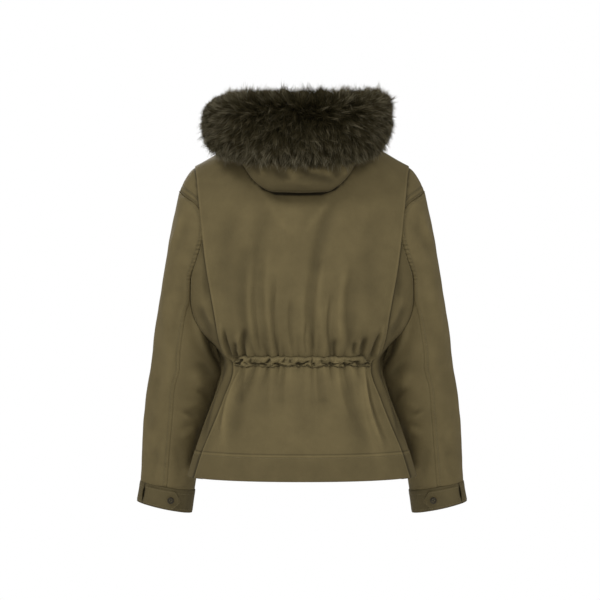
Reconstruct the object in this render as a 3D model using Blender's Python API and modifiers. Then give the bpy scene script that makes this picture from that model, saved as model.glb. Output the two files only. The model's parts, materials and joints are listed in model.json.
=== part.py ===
"""Fur-trimmed parka in its worn, filled-out shape on a general figure.

Metres, +Z up. The front faces -Y and the wearer's left is +X. The origin lies midway between the
shoulders at the base of the neck, where the wearer carries the coat. Every cloth piece is a wall
made by Solidify on an open surface, whose points come from the tables below (millimetres).
"""

import math

import bpy
from mathutils import Vector

MM = 0.001

# ---- cloth -------------------------------------------------------------------------------------
CLOTH = 1.5            # wall of one layer
SEAM = 0.2             # one side's share of the gap at a flat seam
SHOULDER_SEAM = 1.1    # gap of the sleeve at the end of the shoulder
VALLEY_SEAM = 1.8      # gap at the armhole, where two walls meet at an angle
LAYER = 2.5            # from the middle of one layer to the middle of the next
BUTTON_GAP = 0.4       # between a button and the cloth under it
NEAR = 2.0             # a short step along a surface, to find which way it faces
AXIS_RISE = 30.0       # upward part of the direction that counts as outward on the torso

# ---- torso: heights and the body's rounded sections ---------------------------------------------
UNDERARM = -393.0
ARM_TOP = -104.0
NECK = 80.0            # half width of the neck hole
NECK_BACK = 58.0       # its reach behind and in front of the shoulder line
NECK_FRONT = 75.0
NECK_BACK_DROP = 12.0
NECK_FRONT_DROP = 85.0
SHOULDER = (200.0, -59.0)
SHOULDER_STRAIGHT = 0.45   # share of the drop beyond the shoulder seam that runs straight
ROUNDING = 110.0       # height over which the shoulders round into back and front
TOP_STEPS = 12         # rounds that settle the height of a column's upper end

# height, half width, depth behind, depth in front, squareness of the section
BODY = [
    (-629.0, 211.0, 124.0, 130.0, 2.2),
    (-560.0, 190.0, 116.0, 124.0, 2.2),
    (-500.0, 169.0, 106.0, 117.0, 2.2),
    (-450.0, 150.0, 95.0, 109.0, 2.2),
    (-418.0, 143.0, 86.0, 103.0, 2.2),
    (-393.0, 157.0, 98.0, 113.0, 2.3),
    (-351.0, 199.0, 112.0, 122.0, 2.4),
    (-305.0, 215.0, 114.0, 124.0, 2.5),
    (-268.0, 220.0, 113.0, 124.0, 2.5),
    (-194.0, 226.0, 112.0, 123.0, 2.5),
    (-134.0, 230.0, 107.0, 118.0, 2.5),
    (-104.0, 232.0, 102.0, 112.0, 2.5),
    (0.0, 235.0, 96.0, 100.0, 2.5),
]

# height, half width of the armhole seam
ARMHOLE = [
    (-393.0, 157.0),
    (-375.0, 174.0),
    (-351.0, 190.0),
    (-330.0, 199.0),
    (-305.0, 203.0),
    (-268.0, 202.0),
    (-230.0, 193.0),
    (-194.0, 184.0),
    (-165.0, 181.0),
    (-134.0, 192.0),
    (-118.0, 211.0),
    (-110.0, 221.0),
    (-104.0, 226.0),
]

# height, half width of the folded edge of the back panel
PLEAT = [
    (-629.0, 195.0),
    (-583.0, 178.0),
    (-500.0, 149.0),
    (-435.0, 127.0),
    (-415.0, 126.0),
    (-398.0, 141.0),
    (-372.0, 149.0),
    (-342.0, 157.0),
    (-268.0, 168.0),
    (-170.0, 181.0),
    (-125.0, 185.0),
    (-96.0, 190.0),
    (-59.0, 197.0),
]
PLEAT_OUT_TOP = 5.0    # the back panel above the side panels: at the shoulder and lower down
PLEAT_OUT = 7.5
PLEAT_OUT_FROM = -140.0    # height where it starts to come down to the shoulder
PLEAT_RETURN = 12.0    # width folded back under
PLEAT_EDGE = (2.0, 1.3)    # outermost point of the fold: beyond the edge, below the panel
PLEAT_TURN = (1.2, 0.3)    # where it turns under: beyond the edge, above the returned width
PLEAT_INNER = 3.0      # where the returned width starts, inside the edge
PLEAT_SETTLE = 0.2     # the returned width lies this much farther in
UNDERLAP = 9.0         # what the side panel reaches in under the fold
BACK_COLUMNS = 14      # from the centre to the fold
SIDE_COLUMNS = 5

# rows of the panels: heights up to the underarm, then shares of the way up to each column's top
LOWER_ROWS = [-629.0, -579.0, -540.0, -503.0, -470.0, -446.0, -430.0, -416.0, -403.0, -393.0]
SEAM_SHARE = 0.305     # where the sleeve's back seam meets the armhole
ROWS_BELOW_SEAM = 5
ROWS_ABOVE_SEAM = 8

FOLD_FADE = (-0.15, 0.2)   # share of a fold's length over which each end fades
FOLD_EDGE = (16.0, 2.0)    # folds fade between these distances from the pleat's edge
FOLD_TOP = (-100.0, -60.0)     # and between these heights below the shoulder

# ---- back folds: x and height of both ends, half width, depth (a ridge where positive) ----------
BACK_FOLDS = [
    (102.0, -210.0, 94.0, -385.0, 13.0, -5.0),
    (64.0, -125.0, 57.0, -392.0, 15.0, -7.0),
    (-54.0, -136.0, -15.0, -262.0, 15.0, -5.0),
    (-15.0, -262.0, -6.0, -390.0, 13.0, -5.0),
    (-90.0, -235.0, -80.0, -385.0, 12.0, -5.0),
    (66.0, -118.0, 9.0, -185.0, 12.0, 4.0),
    (-54.0, -130.0, 9.0, -185.0, 12.0, 4.0),
    (128.0, -330.0, 112.0, -395.0, 11.0, 4.0),
    (-128.0, -330.0, -112.0, -395.0, 11.0, 4.0),
    (96.0, -440.0, 120.0, -590.0, 14.0, -5.0),
    (52.0, -440.0, 62.0, -560.0, 13.0, -5.0),
    (6.0, -440.0, 4.0, -570.0, 14.0, -4.0),
    (-40.0, -440.0, -50.0, -560.0, 13.0, -5.0),
    (-88.0, -440.0, -112.0, -590.0, 14.0, -5.0),
]

# ---- waist casing -------------------------------------------------------------------------------
CASING_MIDDLE = -414.5
CASING_HALF = 12.5
CASING_COLUMNS = 84
CASING_ROWS = 4
CASING_INSET = 6.0     # from its end to the edge of the back panel
CASING_LIFT = 1.0      # of its stitched edges off the back panel
CASING_GATHERS = 19
CASING_DRIFT = (0.35, 9.0)     # uneven spacing of the gathers: amount, and how fast it changes
CASING_PUFF = 5.0
CASING_LEAST = 0.35    # share of the puff that is left between gathers

# ---- sleeves: height, outer reach, middle, y of the middle, half depth, tilt of the ring --------
SLEEVE = [
    (-697.0, 312.0, 261.5, -90.0, 42.0, 11.0),
    (-656.0, 305.5, 255.0, -85.0, 44.0, 8.5),
    (-605.0, 303.0, 249.5, -77.0, 48.0, 7.0),
    (-550.0, 299.0, 241.5, -66.0, 53.0, 6.0),
    (-490.0, 292.5, 228.0, -52.0, 58.0, 5.0),
    (-460.0, 287.5, 219.5, -45.0, 60.0, 4.5),
    (-430.0, 282.0, 211.5, -38.0, 62.0, 4.0),
    (-400.0, 278.0, 213.0, -30.0, 64.5, 3.0),
    (-368.0, 273.5, 213.0, -20.0, 66.0, 2.0),
    (-302.0, 262.5, 208.0, -4.0, 69.0, 0.0),
    (-235.0, 251.5, 197.0, 0.0, 70.0, 0.0),
    (-168.0, 239.5, 186.0, 0.0, 68.0, 0.0),
    (-104.0, 226.0, 214.0, 0.0, 20.0, 0.0),
]
CUFF_TOP = -656.0
CUFF_BOTTOM = -697.0
SLEEVE_ROWS = 9
SLEEVE_COLUMNS = 8     # from the outer fold to a seam
SLEEVE_TOP_GAP = 1.0   # from the first row to the end of the shoulder
SLEEVE_TOP_FROM = -150.0   # above this the sleeve starts below the shoulder, not beside it
AWAY_BESIDE = (1.0, -0.25)     # outward and upward share of the gap at the armhole
AWAY_BELOW = (0.45, -0.9)      # and at the end of the shoulder
SEAM_FADE = 90.0       # height over which the sleeve lets go of the armhole seam
SEAM_POWER = 4         # how closely to the seam it is drawn in
ARM_VALLEY = (-190.0, -305.0)   # over this height the sleeve grows fuller than the armhole
SEAM_ANGLE_TOP = 104.0
SEAM_ANGLE_CUFF = 92.0
UNDER_SEAM = 0.9       # the under sleeve's share of the gap, where its seams bend

# ---- cuffs --------------------------------------------------------------------------------------
CUFF_SHARES = (0.02, 0.35, 0.7, 1.0)   # its rows, from top to bottom
CUFF_COLUMNS = 24
CUFF_OUT = 1.0         # outside the sleeve's own surface
CUFF_CLOTH = 2.2       # two layers
TAB_MIDDLE = 0.53      # share of the cuff's height where tab and button lie
TAB_OUT = 3.5          # outside the sleeve's own surface
TAB_CLOTH = 1.6
TAB_COLUMNS = 14
TAB_NARROWING = 0.93   # share of its height that the point takes away
TAB_FROM = 14.0        # degrees round the cuff from its outer side towards the back
TAB_TO = 124.0
TAB_POINT = 14.0       # degrees over which the tab's end comes to a point
TAB_HALF = 17.0
BUTTON_ANGLE = 103.0
BUTTON_RADIUS = 6.3
BUTTON_THICK = 2.6
BUTTON_RIM = 0.7
BUTTON_DISH = (0.62, 0.78)     # shares of the radius where the dish ends and the rim begins
BUTTON_STEPS = 12

# ---- front --------------------------------------------------------------------------------------
CLOSING_GAP = 0.5
FRONT_COLUMNS = 11
PLACKET_SHARE = 0.68   # its half width, as a share of the fronts' first column
PLACKET_TOP_GAP = 3.0
PLACKET_BUTTONS = 6
PLACKET_BUTTON_TOP = -135.0
PLACKET_BUTTON_STEP = 86.0

# ---- hood: angle round the neck from the back, shares of the pouch's drop, reach and outer side --
HOOD = [
    (0.0, 1.0, 1.0, 1.0),
    (18.0, 1.0, 1.0, 1.0),
    (27.0, 0.93, 1.02, 0.9),
    (36.0, 0.74, 1.0, 0.5),
    (44.0, 0.5, 0.88, 0.12),
    (52.0, 0.25, 0.62, 0.12),
    (60.0, 0.08, 0.4, 0.3),
    (70.0, 0.0, 0.12, 0.8),
    (84.0, 0.0, 0.0, 1.0),
    (160.0, 0.0, 0.0, 1.0),
]
HOOD_FOLD = 4          # which of the next rows is the fold at the pouch's bottom
HOOD_POUCH = [
    (0.0, 3.0),
    (30.0, -4.0),
    (46.0, -32.0),
    (56.0, -72.0),
    (68.0, -102.0),
    (84.0, -98.0),
    (92.0, -72.0),
]
HOOD_STAND = [
    (-1.5, 4.0),
    (-1.0, 6.0),
    (0.0, 9.0),
    (1.5, 12.0),
    (3.0, 15.0),
    (5.0, 18.0),
    (7.0, 20.0),
]
COLLAR_RISE = 0.3      # the neckline rises onto the back panel over this share of the half turn
HOOD_LEAN = 0.75       # the pouch hangs backward: its direction turns less than the neck's angle
HOOD_END = 158.0
HOOD_EVEN = 0.45       # share of the columns' spacing that is even; the rest crowds to the back
HOOD_COLUMNS = 34
HOOD_ROWS = 12

# ---- fur: share of the way from back to front, x, y, z, half thickness, half height, lean -------
FUR = [
    (0.00, 0.0, 141.0, -1.0, 49.0, 77.0, 27.0),
    (0.18, 64.0, 132.0, 1.0, 49.0, 75.0, 27.0),
    (0.34, 115.0, 98.0, 10.0, 49.0, 67.0, 26.0),
    (0.50, 140.0, 42.0, 33.0, 48.0, 49.0, 12.0),
    (0.64, 134.0, -18.0, 32.0, 45.0, 48.0, 10.0),
    (0.78, 107.0, -74.0, 12.0, 42.0, 46.0, 14.0),
    (0.90, 74.0, -110.0, -24.0, 38.0, 42.0, 14.0),
    (1.00, 38.0, -128.0, -74.0, 33.0, 35.0, 8.0),
]
FUR_RIGHT = 0.94       # it lies a little closer in on the wearer's right
FUR_RINGS = 20
FUR_SIDES = 18
FUR_INNER = 0.76       # the side towards the neck is flatter
FUR_STEP = 0.02        # share of the band over which its direction is taken
FUR_LEAN_POWER = 1.5   # the lean grows towards the lower edge
FUR_END_ROUND = 5
FUR_END = 22.0         # how far the rounded ends reach past the last ring
FUR_LOCKS = 0.05       # unevenness, and the waves round and along the band that make it
FUR_WAVE_ROUND = (5, 23)
FUR_WAVE_ALONG = (2, 31)


# ---- reading the tables -------------------------------------------------------------------------
def blend(rows, key):
    """The other columns of a table at a key, by a cubic through its rows."""
    keys = [row[0] for row in rows]
    if key <= keys[0]:
        return rows[0][1:]
    if key >= keys[-1]:
        return rows[-1][1:]
    i = max(k for k in range(len(rows) - 1) if keys[k] <= key)
    width = keys[i + 1] - keys[i]
    t = (key - keys[i]) / width
    out = []
    for column in range(1, len(rows[0])):
        here, there = rows[i][column], rows[i + 1][column]
        slope = (there - here) / width
        before = (here - rows[i - 1][column]) / (keys[i] - keys[i - 1]) if i else slope
        after = (
            (rows[i + 2][column] - there) / (keys[i + 2] - keys[i + 1]) if i + 2 < len(rows) else slope
        )
        start = 0.0 if before * slope <= 0 else 2 * before * slope / (before + slope)
        end = 0.0 if after * slope <= 0 else 2 * after * slope / (after + slope)
        out.append(
            here * (1 + 2 * t) * (1 - t) ** 2
            + there * t * t * (3 - 2 * t)
            + width * (start * t * (1 - t) ** 2 - end * t * t * (1 - t))
        )
    return out


def ease(value, low, high):
    """0 below low, 1 above high, smooth between."""
    t = min(max((value - low) / (high - low), 0.0), 1.0)
    return t * t * (3 - 2 * t)


def mix(a, b, t):
    return a + (b - a) * t


# ---- torso surface ------------------------------------------------------------------------------
def top_height(x, back):
    """Height of the neckline, or of the shoulder seam beside it."""
    x = abs(x)
    if x < NECK:
        return -(NECK_BACK_DROP if back else NECK_FRONT_DROP) * (1 - (x / NECK) ** 2)
    if x < SHOULDER[0]:
        return SHOULDER[1] * (x - NECK) / (SHOULDER[0] - NECK)
    reach = (x - SHOULDER[0]) / (ARMHOLE[-1][1] - SHOULDER[0])
    return SHOULDER[1] + (ARM_TOP - SHOULDER[1]) * mix(reach * reach, reach, SHOULDER_STRAIGHT)


def top_depth(x, back):
    """How far the neckline lies behind, or in front of, the shoulder line."""
    if abs(x) >= NECK:
        return 0.0
    return (NECK_BACK if back else NECK_FRONT) * math.sqrt(1 - (x / NECK) ** 2)


def quarter(x, z):
    """Angle from the centre line to the point of half width x on the section at height z."""
    return math.asin(min(abs(x) / blend(BODY, z)[0], 1.0))


def torso(angle, z, back, side=1):
    """Point of the body's surface; the angle runs from the centre line to the side."""
    half, behind, front, square = blend(BODY, z)
    share = min(math.sin(angle), 1.0)
    x = half * share
    y = (behind if back else front) * (1 - share**square) ** (1 / square)
    drop = min(max((top_height(x, back) - z) / ROUNDING, 0.0), 1.0)
    rim = top_depth(x, back)
    y = rim + (y - rim) * math.sqrt(1 - (1 - drop) ** 2)
    return Vector((side * x, y if back else -y, z))


def torso_rows():
    """(height, share of the way from there to the column's top) of every row."""
    rows = [(z, 0.0) for z in LOWER_ROWS]
    for i in range(1, ROWS_BELOW_SEAM + 1):
        rows.append((UNDERARM, SEAM_SHARE * i / ROWS_BELOW_SEAM))
    for i in range(1, ROWS_ABOVE_SEAM + 1):
        rows.append((UNDERARM, mix(SEAM_SHARE, 1.0, math.sin(math.pi / 2 * i / ROWS_ABOVE_SEAM))))
    return rows


def level(row, top):
    return row[0] + row[1] * (top - UNDERARM)


def armhole_edge(row):
    """x and z where a row ends: on the side seam, or on the armhole seam above it."""
    z = level(row, ARM_TOP)
    return (blend(ARMHOLE, z)[0] if row[1] else blend(BODY, z)[0]), z


def pleat_edge(row):
    z = level(row, top_height(PLEAT[-1][1], True))
    return blend(PLEAT, z)[0], z


def underlap_edge(row):
    x, z = pleat_edge(row)
    seam, _ = armhole_edge(row)
    return min(x - UNDERLAP, seam - UNDERLAP), z


def centre_edge(row):
    return CLOSING_GAP, level(row, top_height(0.0, False))


def panel_grid(inner, outer, back, side, columns):
    """Rows of points between two edges of the torso, each row running outward."""
    rows = torso_rows()
    spans = [(quarter(*inner(row)), quarter(*outer(row))) for row in rows]
    tops = []
    for c in range(columns + 1):
        angle = mix(*spans[-1], c / columns)
        z = ARM_TOP
        for _ in range(TOP_STEPS):
            z = top_height(torso(angle, z, back).x, back)
        tops.append(z)
    grid = []
    for row, span in zip(rows, spans):
        line = []
        for c in range(columns + 1):
            line.append(torso(mix(*span, c / columns), level(row, tops[c]), back, side))
        grid.append(line)
    return grid


# ---- grids --------------------------------------------------------------------------------------
def normals(grid, outward):
    """Unit normals of a grid of points, all on the side that outward(point) names."""
    out = []
    for r, line in enumerate(grid):
        out.append([])
        for c, point in enumerate(line):
            along = line[min(c + 1, len(line) - 1)] - line[max(c - 1, 0)]
            up = grid[min(r + 1, len(grid) - 1)][c] - grid[max(r - 1, 0)][c]
            normal = along.cross(up)
            if normal.length < 1e-6:
                normal = outward(point)
            normal.normalize()
            if normal.dot(outward(point)) < 0:
                normal.negate()
            out[-1].append(normal)
    return out


def from_axis(point):
    return Vector((point.x, point.y, AXIS_RISE))


def moved_out(grid, amount, outward=from_axis):
    """The grid with each point moved along its normal by amount(row, column, point)."""
    facing = normals(grid, outward)
    return [
        [p + facing[r][c] * amount(r, c, p) for c, p in enumerate(line)] for r, line in enumerate(grid)
    ]


def shortened(grid, left=0.0, right=0.0, bottom=0.0, top=0.0):
    """The grid with its outer rows and columns drawn in by the given lengths."""
    grid = [[p.copy() for p in line] for line in grid]
    for line in grid:
        for near, far, gap in ((0, 1, left), (-1, -2, right)):
            step = line[far] - line[near]
            if gap and step.length > gap:
                line[near] += step * (gap / step.length)
    for near, far, gap in ((0, 1, bottom), (-1, -2, top)):
        for c in range(len(grid[0])):
            step = grid[far][c] - grid[near][c]
            if gap and step.length > gap:
                grid[near][c] += step * (gap / step.length)
    return grid


# ---- making objects -----------------------------------------------------------------------------
def material(name, colour, roughness):
    made = bpy.data.materials.get(name) or bpy.data.materials.new(name)
    made.use_nodes = True
    shader = made.node_tree.nodes["Principled BSDF"]
    shader.inputs["Base Color"].default_value = (*colour, 1.0)
    shader.inputs["Roughness"].default_value = roughness
    return made


def place(name, verts, faces, finish):
    """An object of the given millimetre points."""
    mesh = bpy.data.meshes.new(name)
    mesh.from_pydata([tuple(Vector(v) * MM) for v in verts], [], faces)
    mesh.materials.append(finish)
    mesh.shade_smooth()
    obj = bpy.data.objects.new(name, mesh)
    COLLECTION.objects.link(obj)
    return obj


def wall(name, grid, finish, thickness=CLOTH, ring=False):
    """A cloth wall on a grid of points; a ring joins the last column to the first."""
    width = len(grid[0])
    verts = [p for line in grid for p in line]
    faces = []
    for r in range(len(grid) - 1):
        for c in range(width if ring else width - 1):
            d = (c + 1) % width
            faces.append((r * width + c, r * width + d, (r + 1) * width + d, (r + 1) * width + c))
    obj = place(name, verts, faces, finish)
    shell = obj.modifiers.new("Wall", "SOLIDIFY")
    shell.thickness = thickness * MM
    shell.offset = 0.0
    return obj


def loft(name, rings, finish):
    """A closed solid through rings of points, with a point at each end."""
    width = len(rings[0])
    verts = [p for ring in rings for p in ring]
    faces = []
    for r in range(len(rings) - 1):
        for c in range(width):
            d = (c + 1) % width
            faces.append((r * width + c, r * width + d, (r + 1) * width + d, (r + 1) * width + c))
    for ring, start, flip in ((rings[0], 0, True), (rings[-1], (len(rings) - 1) * width, False)):
        verts.append(sum(ring, Vector()) / width)
        tip = len(verts) - 1
        for c in range(width):
            a, b = start + c, start + (c + 1) % width
            faces.append((b, a, tip) if flip else (a, b, tip))
    return place(name, verts, faces, finish)


def button(name, centre, facing, finish):
    """A turned button with a raised rim, on a surface that faces the given way."""
    half = BUTTON_THICK / 2
    dish, rim = (BUTTON_RADIUS * share for share in BUTTON_DISH)
    profile = [
        (0.0, half - BUTTON_RIM),
        (dish, half - BUTTON_RIM),
        (rim, half),
        (BUTTON_RADIUS - BUTTON_RIM, half),
        (BUTTON_RADIUS, half - BUTTON_RIM),
        (BUTTON_RADIUS, -half + BUTTON_RIM),
        (BUTTON_RADIUS - BUTTON_RIM, -half),
        (0.0, -half),
    ]
    mesh = bpy.data.meshes.new(name)
    edges = [(i, i + 1) for i in range(len(profile) - 1)]
    mesh.from_pydata([(x * MM, 0.0, z * MM) for x, z in profile], edges, [])
    mesh.materials.append(finish)
    obj = bpy.data.objects.new(name, mesh)
    COLLECTION.objects.link(obj)
    turn = obj.modifiers.new("Turn", "SCREW")
    turn.steps = turn.render_steps = BUTTON_STEPS
    turn.use_merge_vertices = True
    turn.merge_threshold = 0.00001
    obj.location = centre * MM
    obj.rotation_euler = facing.to_track_quat("Z", "Y").to_euler()
    return obj


# ---- the back -----------------------------------------------------------------------------------
def fold_height(x, z):
    """Sum of the back's folds at a point of the back panel."""
    total = 0.0
    for x1, z1, x2, z2, half, depth in BACK_FOLDS:
        run = Vector((x2 - x1, z2 - z1))
        place_on = Vector((x - x1, z - z1))
        share = place_on.dot(run) / run.length_squared
        ends = ease(share, *FOLD_FADE) * ease(1 - share, *FOLD_FADE)
        across = (place_on - run * share).length
        total += depth * ends * math.exp(-((across / half) ** 2))
    return total


def back_rise(x, z):
    """How far the back panel lies outside the body's surface, and its folds outside that."""
    rise = mix(PLEAT_OUT, PLEAT_OUT_TOP, ease(z, PLEAT_OUT_FROM, SHOULDER[1]))
    edge = blend(PLEAT, z)[0]
    inside = 1 - ease(abs(x), edge - FOLD_EDGE[0], edge - FOLD_EDGE[1])
    return rise, fold_height(x, z) * inside * (1 - ease(z, *FOLD_TOP))


def back_centre(row):
    return 0.0, level(row, top_height(0.0, True))


def back_panel(finish):
    left = panel_grid(back_centre, pleat_edge, True, 1, BACK_COLUMNS)
    right = panel_grid(back_centre, pleat_edge, True, -1, BACK_COLUMNS)
    base = [r[:0:-1] + l for r, l in zip(right, left)]
    facing = normals(base, from_axis)
    grid = []
    for r, line in enumerate(base):
        points = []
        for c, p in enumerate(line):
            rise, fold = back_rise(p.x, p.z)
            points.append(p + facing[r][c] * (rise + fold))
        for end, near in ((0, 1), (-1, -2)):
            rise, _ = back_rise(line[end].x, line[end].z)
            out = facing[r][end]
            aside = (line[end] - line[near]).normalized()
            under = rise - LAYER - PLEAT_SETTLE if rise > 2 * LAYER else LAYER
            curl = [
                line[end] + aside * PLEAT_EDGE[0] + out * (rise - PLEAT_EDGE[1]),
                line[end] + aside * PLEAT_TURN[0] + out * (under + PLEAT_TURN[1]),
                line[end] - aside * PLEAT_INNER + out * under,
                line[end] - aside * PLEAT_RETURN + out * under,
            ]
            points = curl[::-1] + points if end == 0 else points + curl
        grid.append(points)
    return wall("back_panel", shortened(grid, top=SEAM), finish)


def side_back(name, side, finish):
    grid = panel_grid(underlap_edge, armhole_edge, True, side, SIDE_COLUMNS)
    return wall(name, shortened(grid, right=SEAM, top=SEAM), finish)


def front(name, side, finish):
    grid = panel_grid(centre_edge, armhole_edge, False, side, FRONT_COLUMNS)
    return wall(name, shortened(grid, right=SEAM, top=SEAM), finish)


def placket(finish):
    """A straight strip over the closing, made from the fronts' first columns."""
    left, right = (panel_grid(centre_edge, armhole_edge, False, side, FRONT_COLUMNS) for side in (1, -1))
    grid = []
    for near, far in zip(left, right):
        edges = [mix(line[0], line[1], PLACKET_SHARE) for line in (far, near)]
        grid.append([edges[0], far[0], near[0], edges[1]])
    grid = shortened(grid, bottom=SEAM, top=PLACKET_TOP_GAP)
    return wall("front_placket", moved_out(grid, lambda r, c, p: LAYER), finish)


def placket_button(index, finish):
    z = PLACKET_BUTTON_TOP - PLACKET_BUTTON_STEP * index
    p = torso(0.0, z, False)
    facing = (torso(0.0, z + NEAR, False) - torso(0.0, z - NEAR, False)).cross(Vector((1, 0, 0)))
    facing.normalize()
    if facing.y > 0:
        facing.negate()
    lift = LAYER + CLOTH / 2 + BUTTON_GAP + BUTTON_THICK / 2
    return button(f"placket_button_{index + 1}", p + facing * lift, facing, finish)


def casing(finish):
    """The ruched casing lies on the back panel and puffs out in gathers between its stitch lines."""
    grid = []
    for r in range(CASING_ROWS):
        v = 2 * r / (CASING_ROWS - 1) - 1
        z = CASING_MIDDLE + CASING_HALF * v
        edge = blend(PLEAT, z)[0] - CASING_INSET
        line = []
        for c in range(CASING_COLUMNS + 1):
            x = mix(-edge, edge, c / CASING_COLUMNS)
            line.append(torso(quarter(x, z), z, True, 1 if x >= 0 else -1))
        grid.append(line)

    def puff(r, c, p):
        v = 2 * r / (CASING_ROWS - 1) - 1
        u = c / CASING_COLUMNS
        turns = CASING_GATHERS * u + CASING_DRIFT[0] * math.sin(CASING_DRIFT[1] * u)
        wave = (1 + math.cos(2 * math.pi * turns)) / 2
        rise, fold = back_rise(p.x, p.z)
        lift = rise + max(fold, 0.0) + LAYER + CASING_LIFT
        return lift + CASING_PUFF * (1 - v * v) * (CASING_LEAST + wave)

    return wall("waist_casing", moved_out(grid, puff), finish)


# ---- sleeves ------------------------------------------------------------------------------------
def seam_point(z, back):
    """Point of the armhole seam on the wearer's left."""
    x = blend(ARMHOLE, z)[0]
    return torso(quarter(x, z), z, back)


def sleeve_start(z, back):
    """Where the sleeve begins: just off the seam, outward, and downward at the shoulder."""
    top = ease(z, SLEEVE_TOP_FROM, ARM_TOP)
    outward, upward = (mix(beside, below, top) for beside, below in zip(AWAY_BESIDE, AWAY_BELOW))
    away = Vector((outward, 0.0, upward))
    return seam_point(z, back) + away * mix(VALLEY_SEAM, SHOULDER_SEAM, top)


def sleeve_ring(z, angle, back):
    """Point of the left sleeve: the angle runs from its outer side, by the back or front, inward."""
    outer, middle, mid_y, depth, tilt = blend(SLEEVE, z)
    fuller = 1 - ease(z, ARM_VALLEY[1], ARM_VALLEY[0])
    if z > ARM_VALLEY[1]:
        seam = seam_point(z, back)
        middle = mix(seam.x, middle, fuller)
        depth = mix(abs(seam.y), depth, fuller)
    a = math.radians(angle)
    side = 1 if back else -1
    return Vector((
        middle + (outer - middle) * math.cos(a),
        mid_y + side * depth * math.sin(a),
        z + tilt * math.cos(a),
    ))


def seam_angle(z):
    """Where the sleeve's seams lie round it, and where its upper rows meet the armhole."""
    if z > ARM_VALLEY[1]:
        return mix(SEAM_ANGLE_TOP, 90.0, ease(z, ARM_VALLEY[1], ARM_VALLEY[0]))
    return mix(SEAM_ANGLE_CUFF, SEAM_ANGLE_TOP, (z - CUFF_TOP) / (ARM_VALLEY[1] - CUFF_TOP))


SEAM_Z = mix(UNDERARM, ARM_TOP, SEAM_SHARE)


def sleeve_rows():
    """Heights of the sleeve's rows below its seams' upper end."""
    return [mix(SEAM_Z, CUFF_TOP, i / SLEEVE_ROWS) for i in range(SLEEVE_ROWS + 1)]


def attached(z, angle, back):
    """A sleeve point, drawn in towards the armhole seam near the seam's level."""
    point = sleeve_ring(z, angle, back)
    share = angle / seam_angle(z)
    if z > SEAM_Z:
        gap = sleeve_start(z, back) - sleeve_ring(z, seam_angle(z), back)
        return point + gap * share**SEAM_POWER
    gap = sleeve_start(SEAM_Z, back) - sleeve_ring(SEAM_Z, seam_angle(SEAM_Z), back)
    fade = ease(z, SEAM_Z - SEAM_FADE, SEAM_Z)
    return point + gap * fade * share**SEAM_POWER


def sleeve_outer(name, side, finish):
    """From the shoulder's end down the outside of the arm, between the two seams."""
    shares = [row[1] for row in torso_rows() if row[1] > SEAM_SHARE]
    heights = [mix(UNDERARM, ARM_TOP, share) for share in reversed(shares)]
    heights[0] -= SLEEVE_TOP_GAP
    heights += sleeve_rows()
    grid = []
    for z in heights:
        line = []
        for c in range(-SLEEVE_COLUMNS, SLEEVE_COLUMNS + 1):
            share = abs(c) / SLEEVE_COLUMNS
            line.append(attached(z, share * seam_angle(z), c >= 0))
        grid.append(line)
    grid = shortened(grid, left=SEAM, right=SEAM, top=SEAM)
    return wall(name, mirrored(grid, side), finish)


def sleeve_under(name, side, finish):
    """From the lower armhole down the inside of the arm."""
    lower = [row[1] for row in torso_rows() if 0.0 < row[1] <= SEAM_SHARE + 1e-6]
    starts = [(mix(UNDERARM, ARM_TOP, share), True) for share in reversed(lower)]
    starts += [(UNDERARM, True)]
    starts += [(mix(UNDERARM, ARM_TOP, share), False) for share in lower]
    middle = len(lower)
    grid = []
    for r, z_seam in enumerate(sleeve_rows()):
        line = []
        for c, (start, back) in enumerate(starts):
            inward = 1 - abs(c - middle) / middle
            z = mix(start, CUFF_TOP, (z_seam - SEAM_Z) / (CUFF_TOP - SEAM_Z))
            angle = mix(seam_angle(z), 180.0, inward)
            first = sleeve_ring(start, mix(seam_angle(start), 180.0, inward), back)
            gap = sleeve_start(start, back) - first
            fade = ease(z, start - SEAM_FADE, start)
            if c in (0, len(starts) - 1):
                line.append(attached(z, angle, back))
            else:
                line.append(sleeve_ring(z, angle, back) + gap * fade)
        grid.append(line)
    grid = shortened(grid, left=UNDER_SEAM, right=UNDER_SEAM, top=SEAM)
    return wall(name, mirrored(grid, side), finish)


def mirrored(grid, side):
    return [[Vector((side * p.x, p.y, p.z)) for p in line] for line in grid]


# ---- cuffs --------------------------------------------------------------------------------------
def cuff_point(angle, share):
    """Point of the left cuff: angle right round it, share from its top to its bottom."""
    turned = angle % 360.0
    back = turned <= 180.0
    return sleeve_ring(mix(CUFF_TOP, CUFF_BOTTOM, share), turned if back else 360.0 - turned, back)


def from_arm(point):
    _, middle, mid_y, _, _ = blend(SLEEVE, point.z)
    return Vector((point.x - middle, point.y - mid_y, 0.0))


def cuff(name, side, finish):
    grid = []
    for share in CUFF_SHARES:
        grid.append([cuff_point(360.0 * k / CUFF_COLUMNS, share) for k in range(CUFF_COLUMNS)])
    grid = moved_out(grid, lambda r, c, p: CUFF_OUT, from_arm)
    return wall(name, mirrored(grid, side), finish, CUFF_CLOTH, ring=True)


def cuff_tab(name, side, finish):
    """A strip round the back of the cuff whose end comes to a point."""
    grid = []
    height = CUFF_TOP - CUFF_BOTTOM
    for v in (-1.0, -0.5, 0.0, 0.5, 1.0):
        line = []
        for k in range(TAB_COLUMNS + 1):
            angle = mix(TAB_FROM, TAB_TO, k / TAB_COLUMNS)
            narrowed = TAB_NARROWING * ease(angle, TAB_TO - TAB_POINT, TAB_TO)
            line.append(cuff_point(angle, TAB_MIDDLE + v * TAB_HALF * (1 - narrowed) / height))
        grid.append(line)
    grid = moved_out(grid, lambda r, c, p: TAB_OUT, from_arm)
    return wall(name, mirrored(grid, side), finish, TAB_CLOTH)


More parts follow.
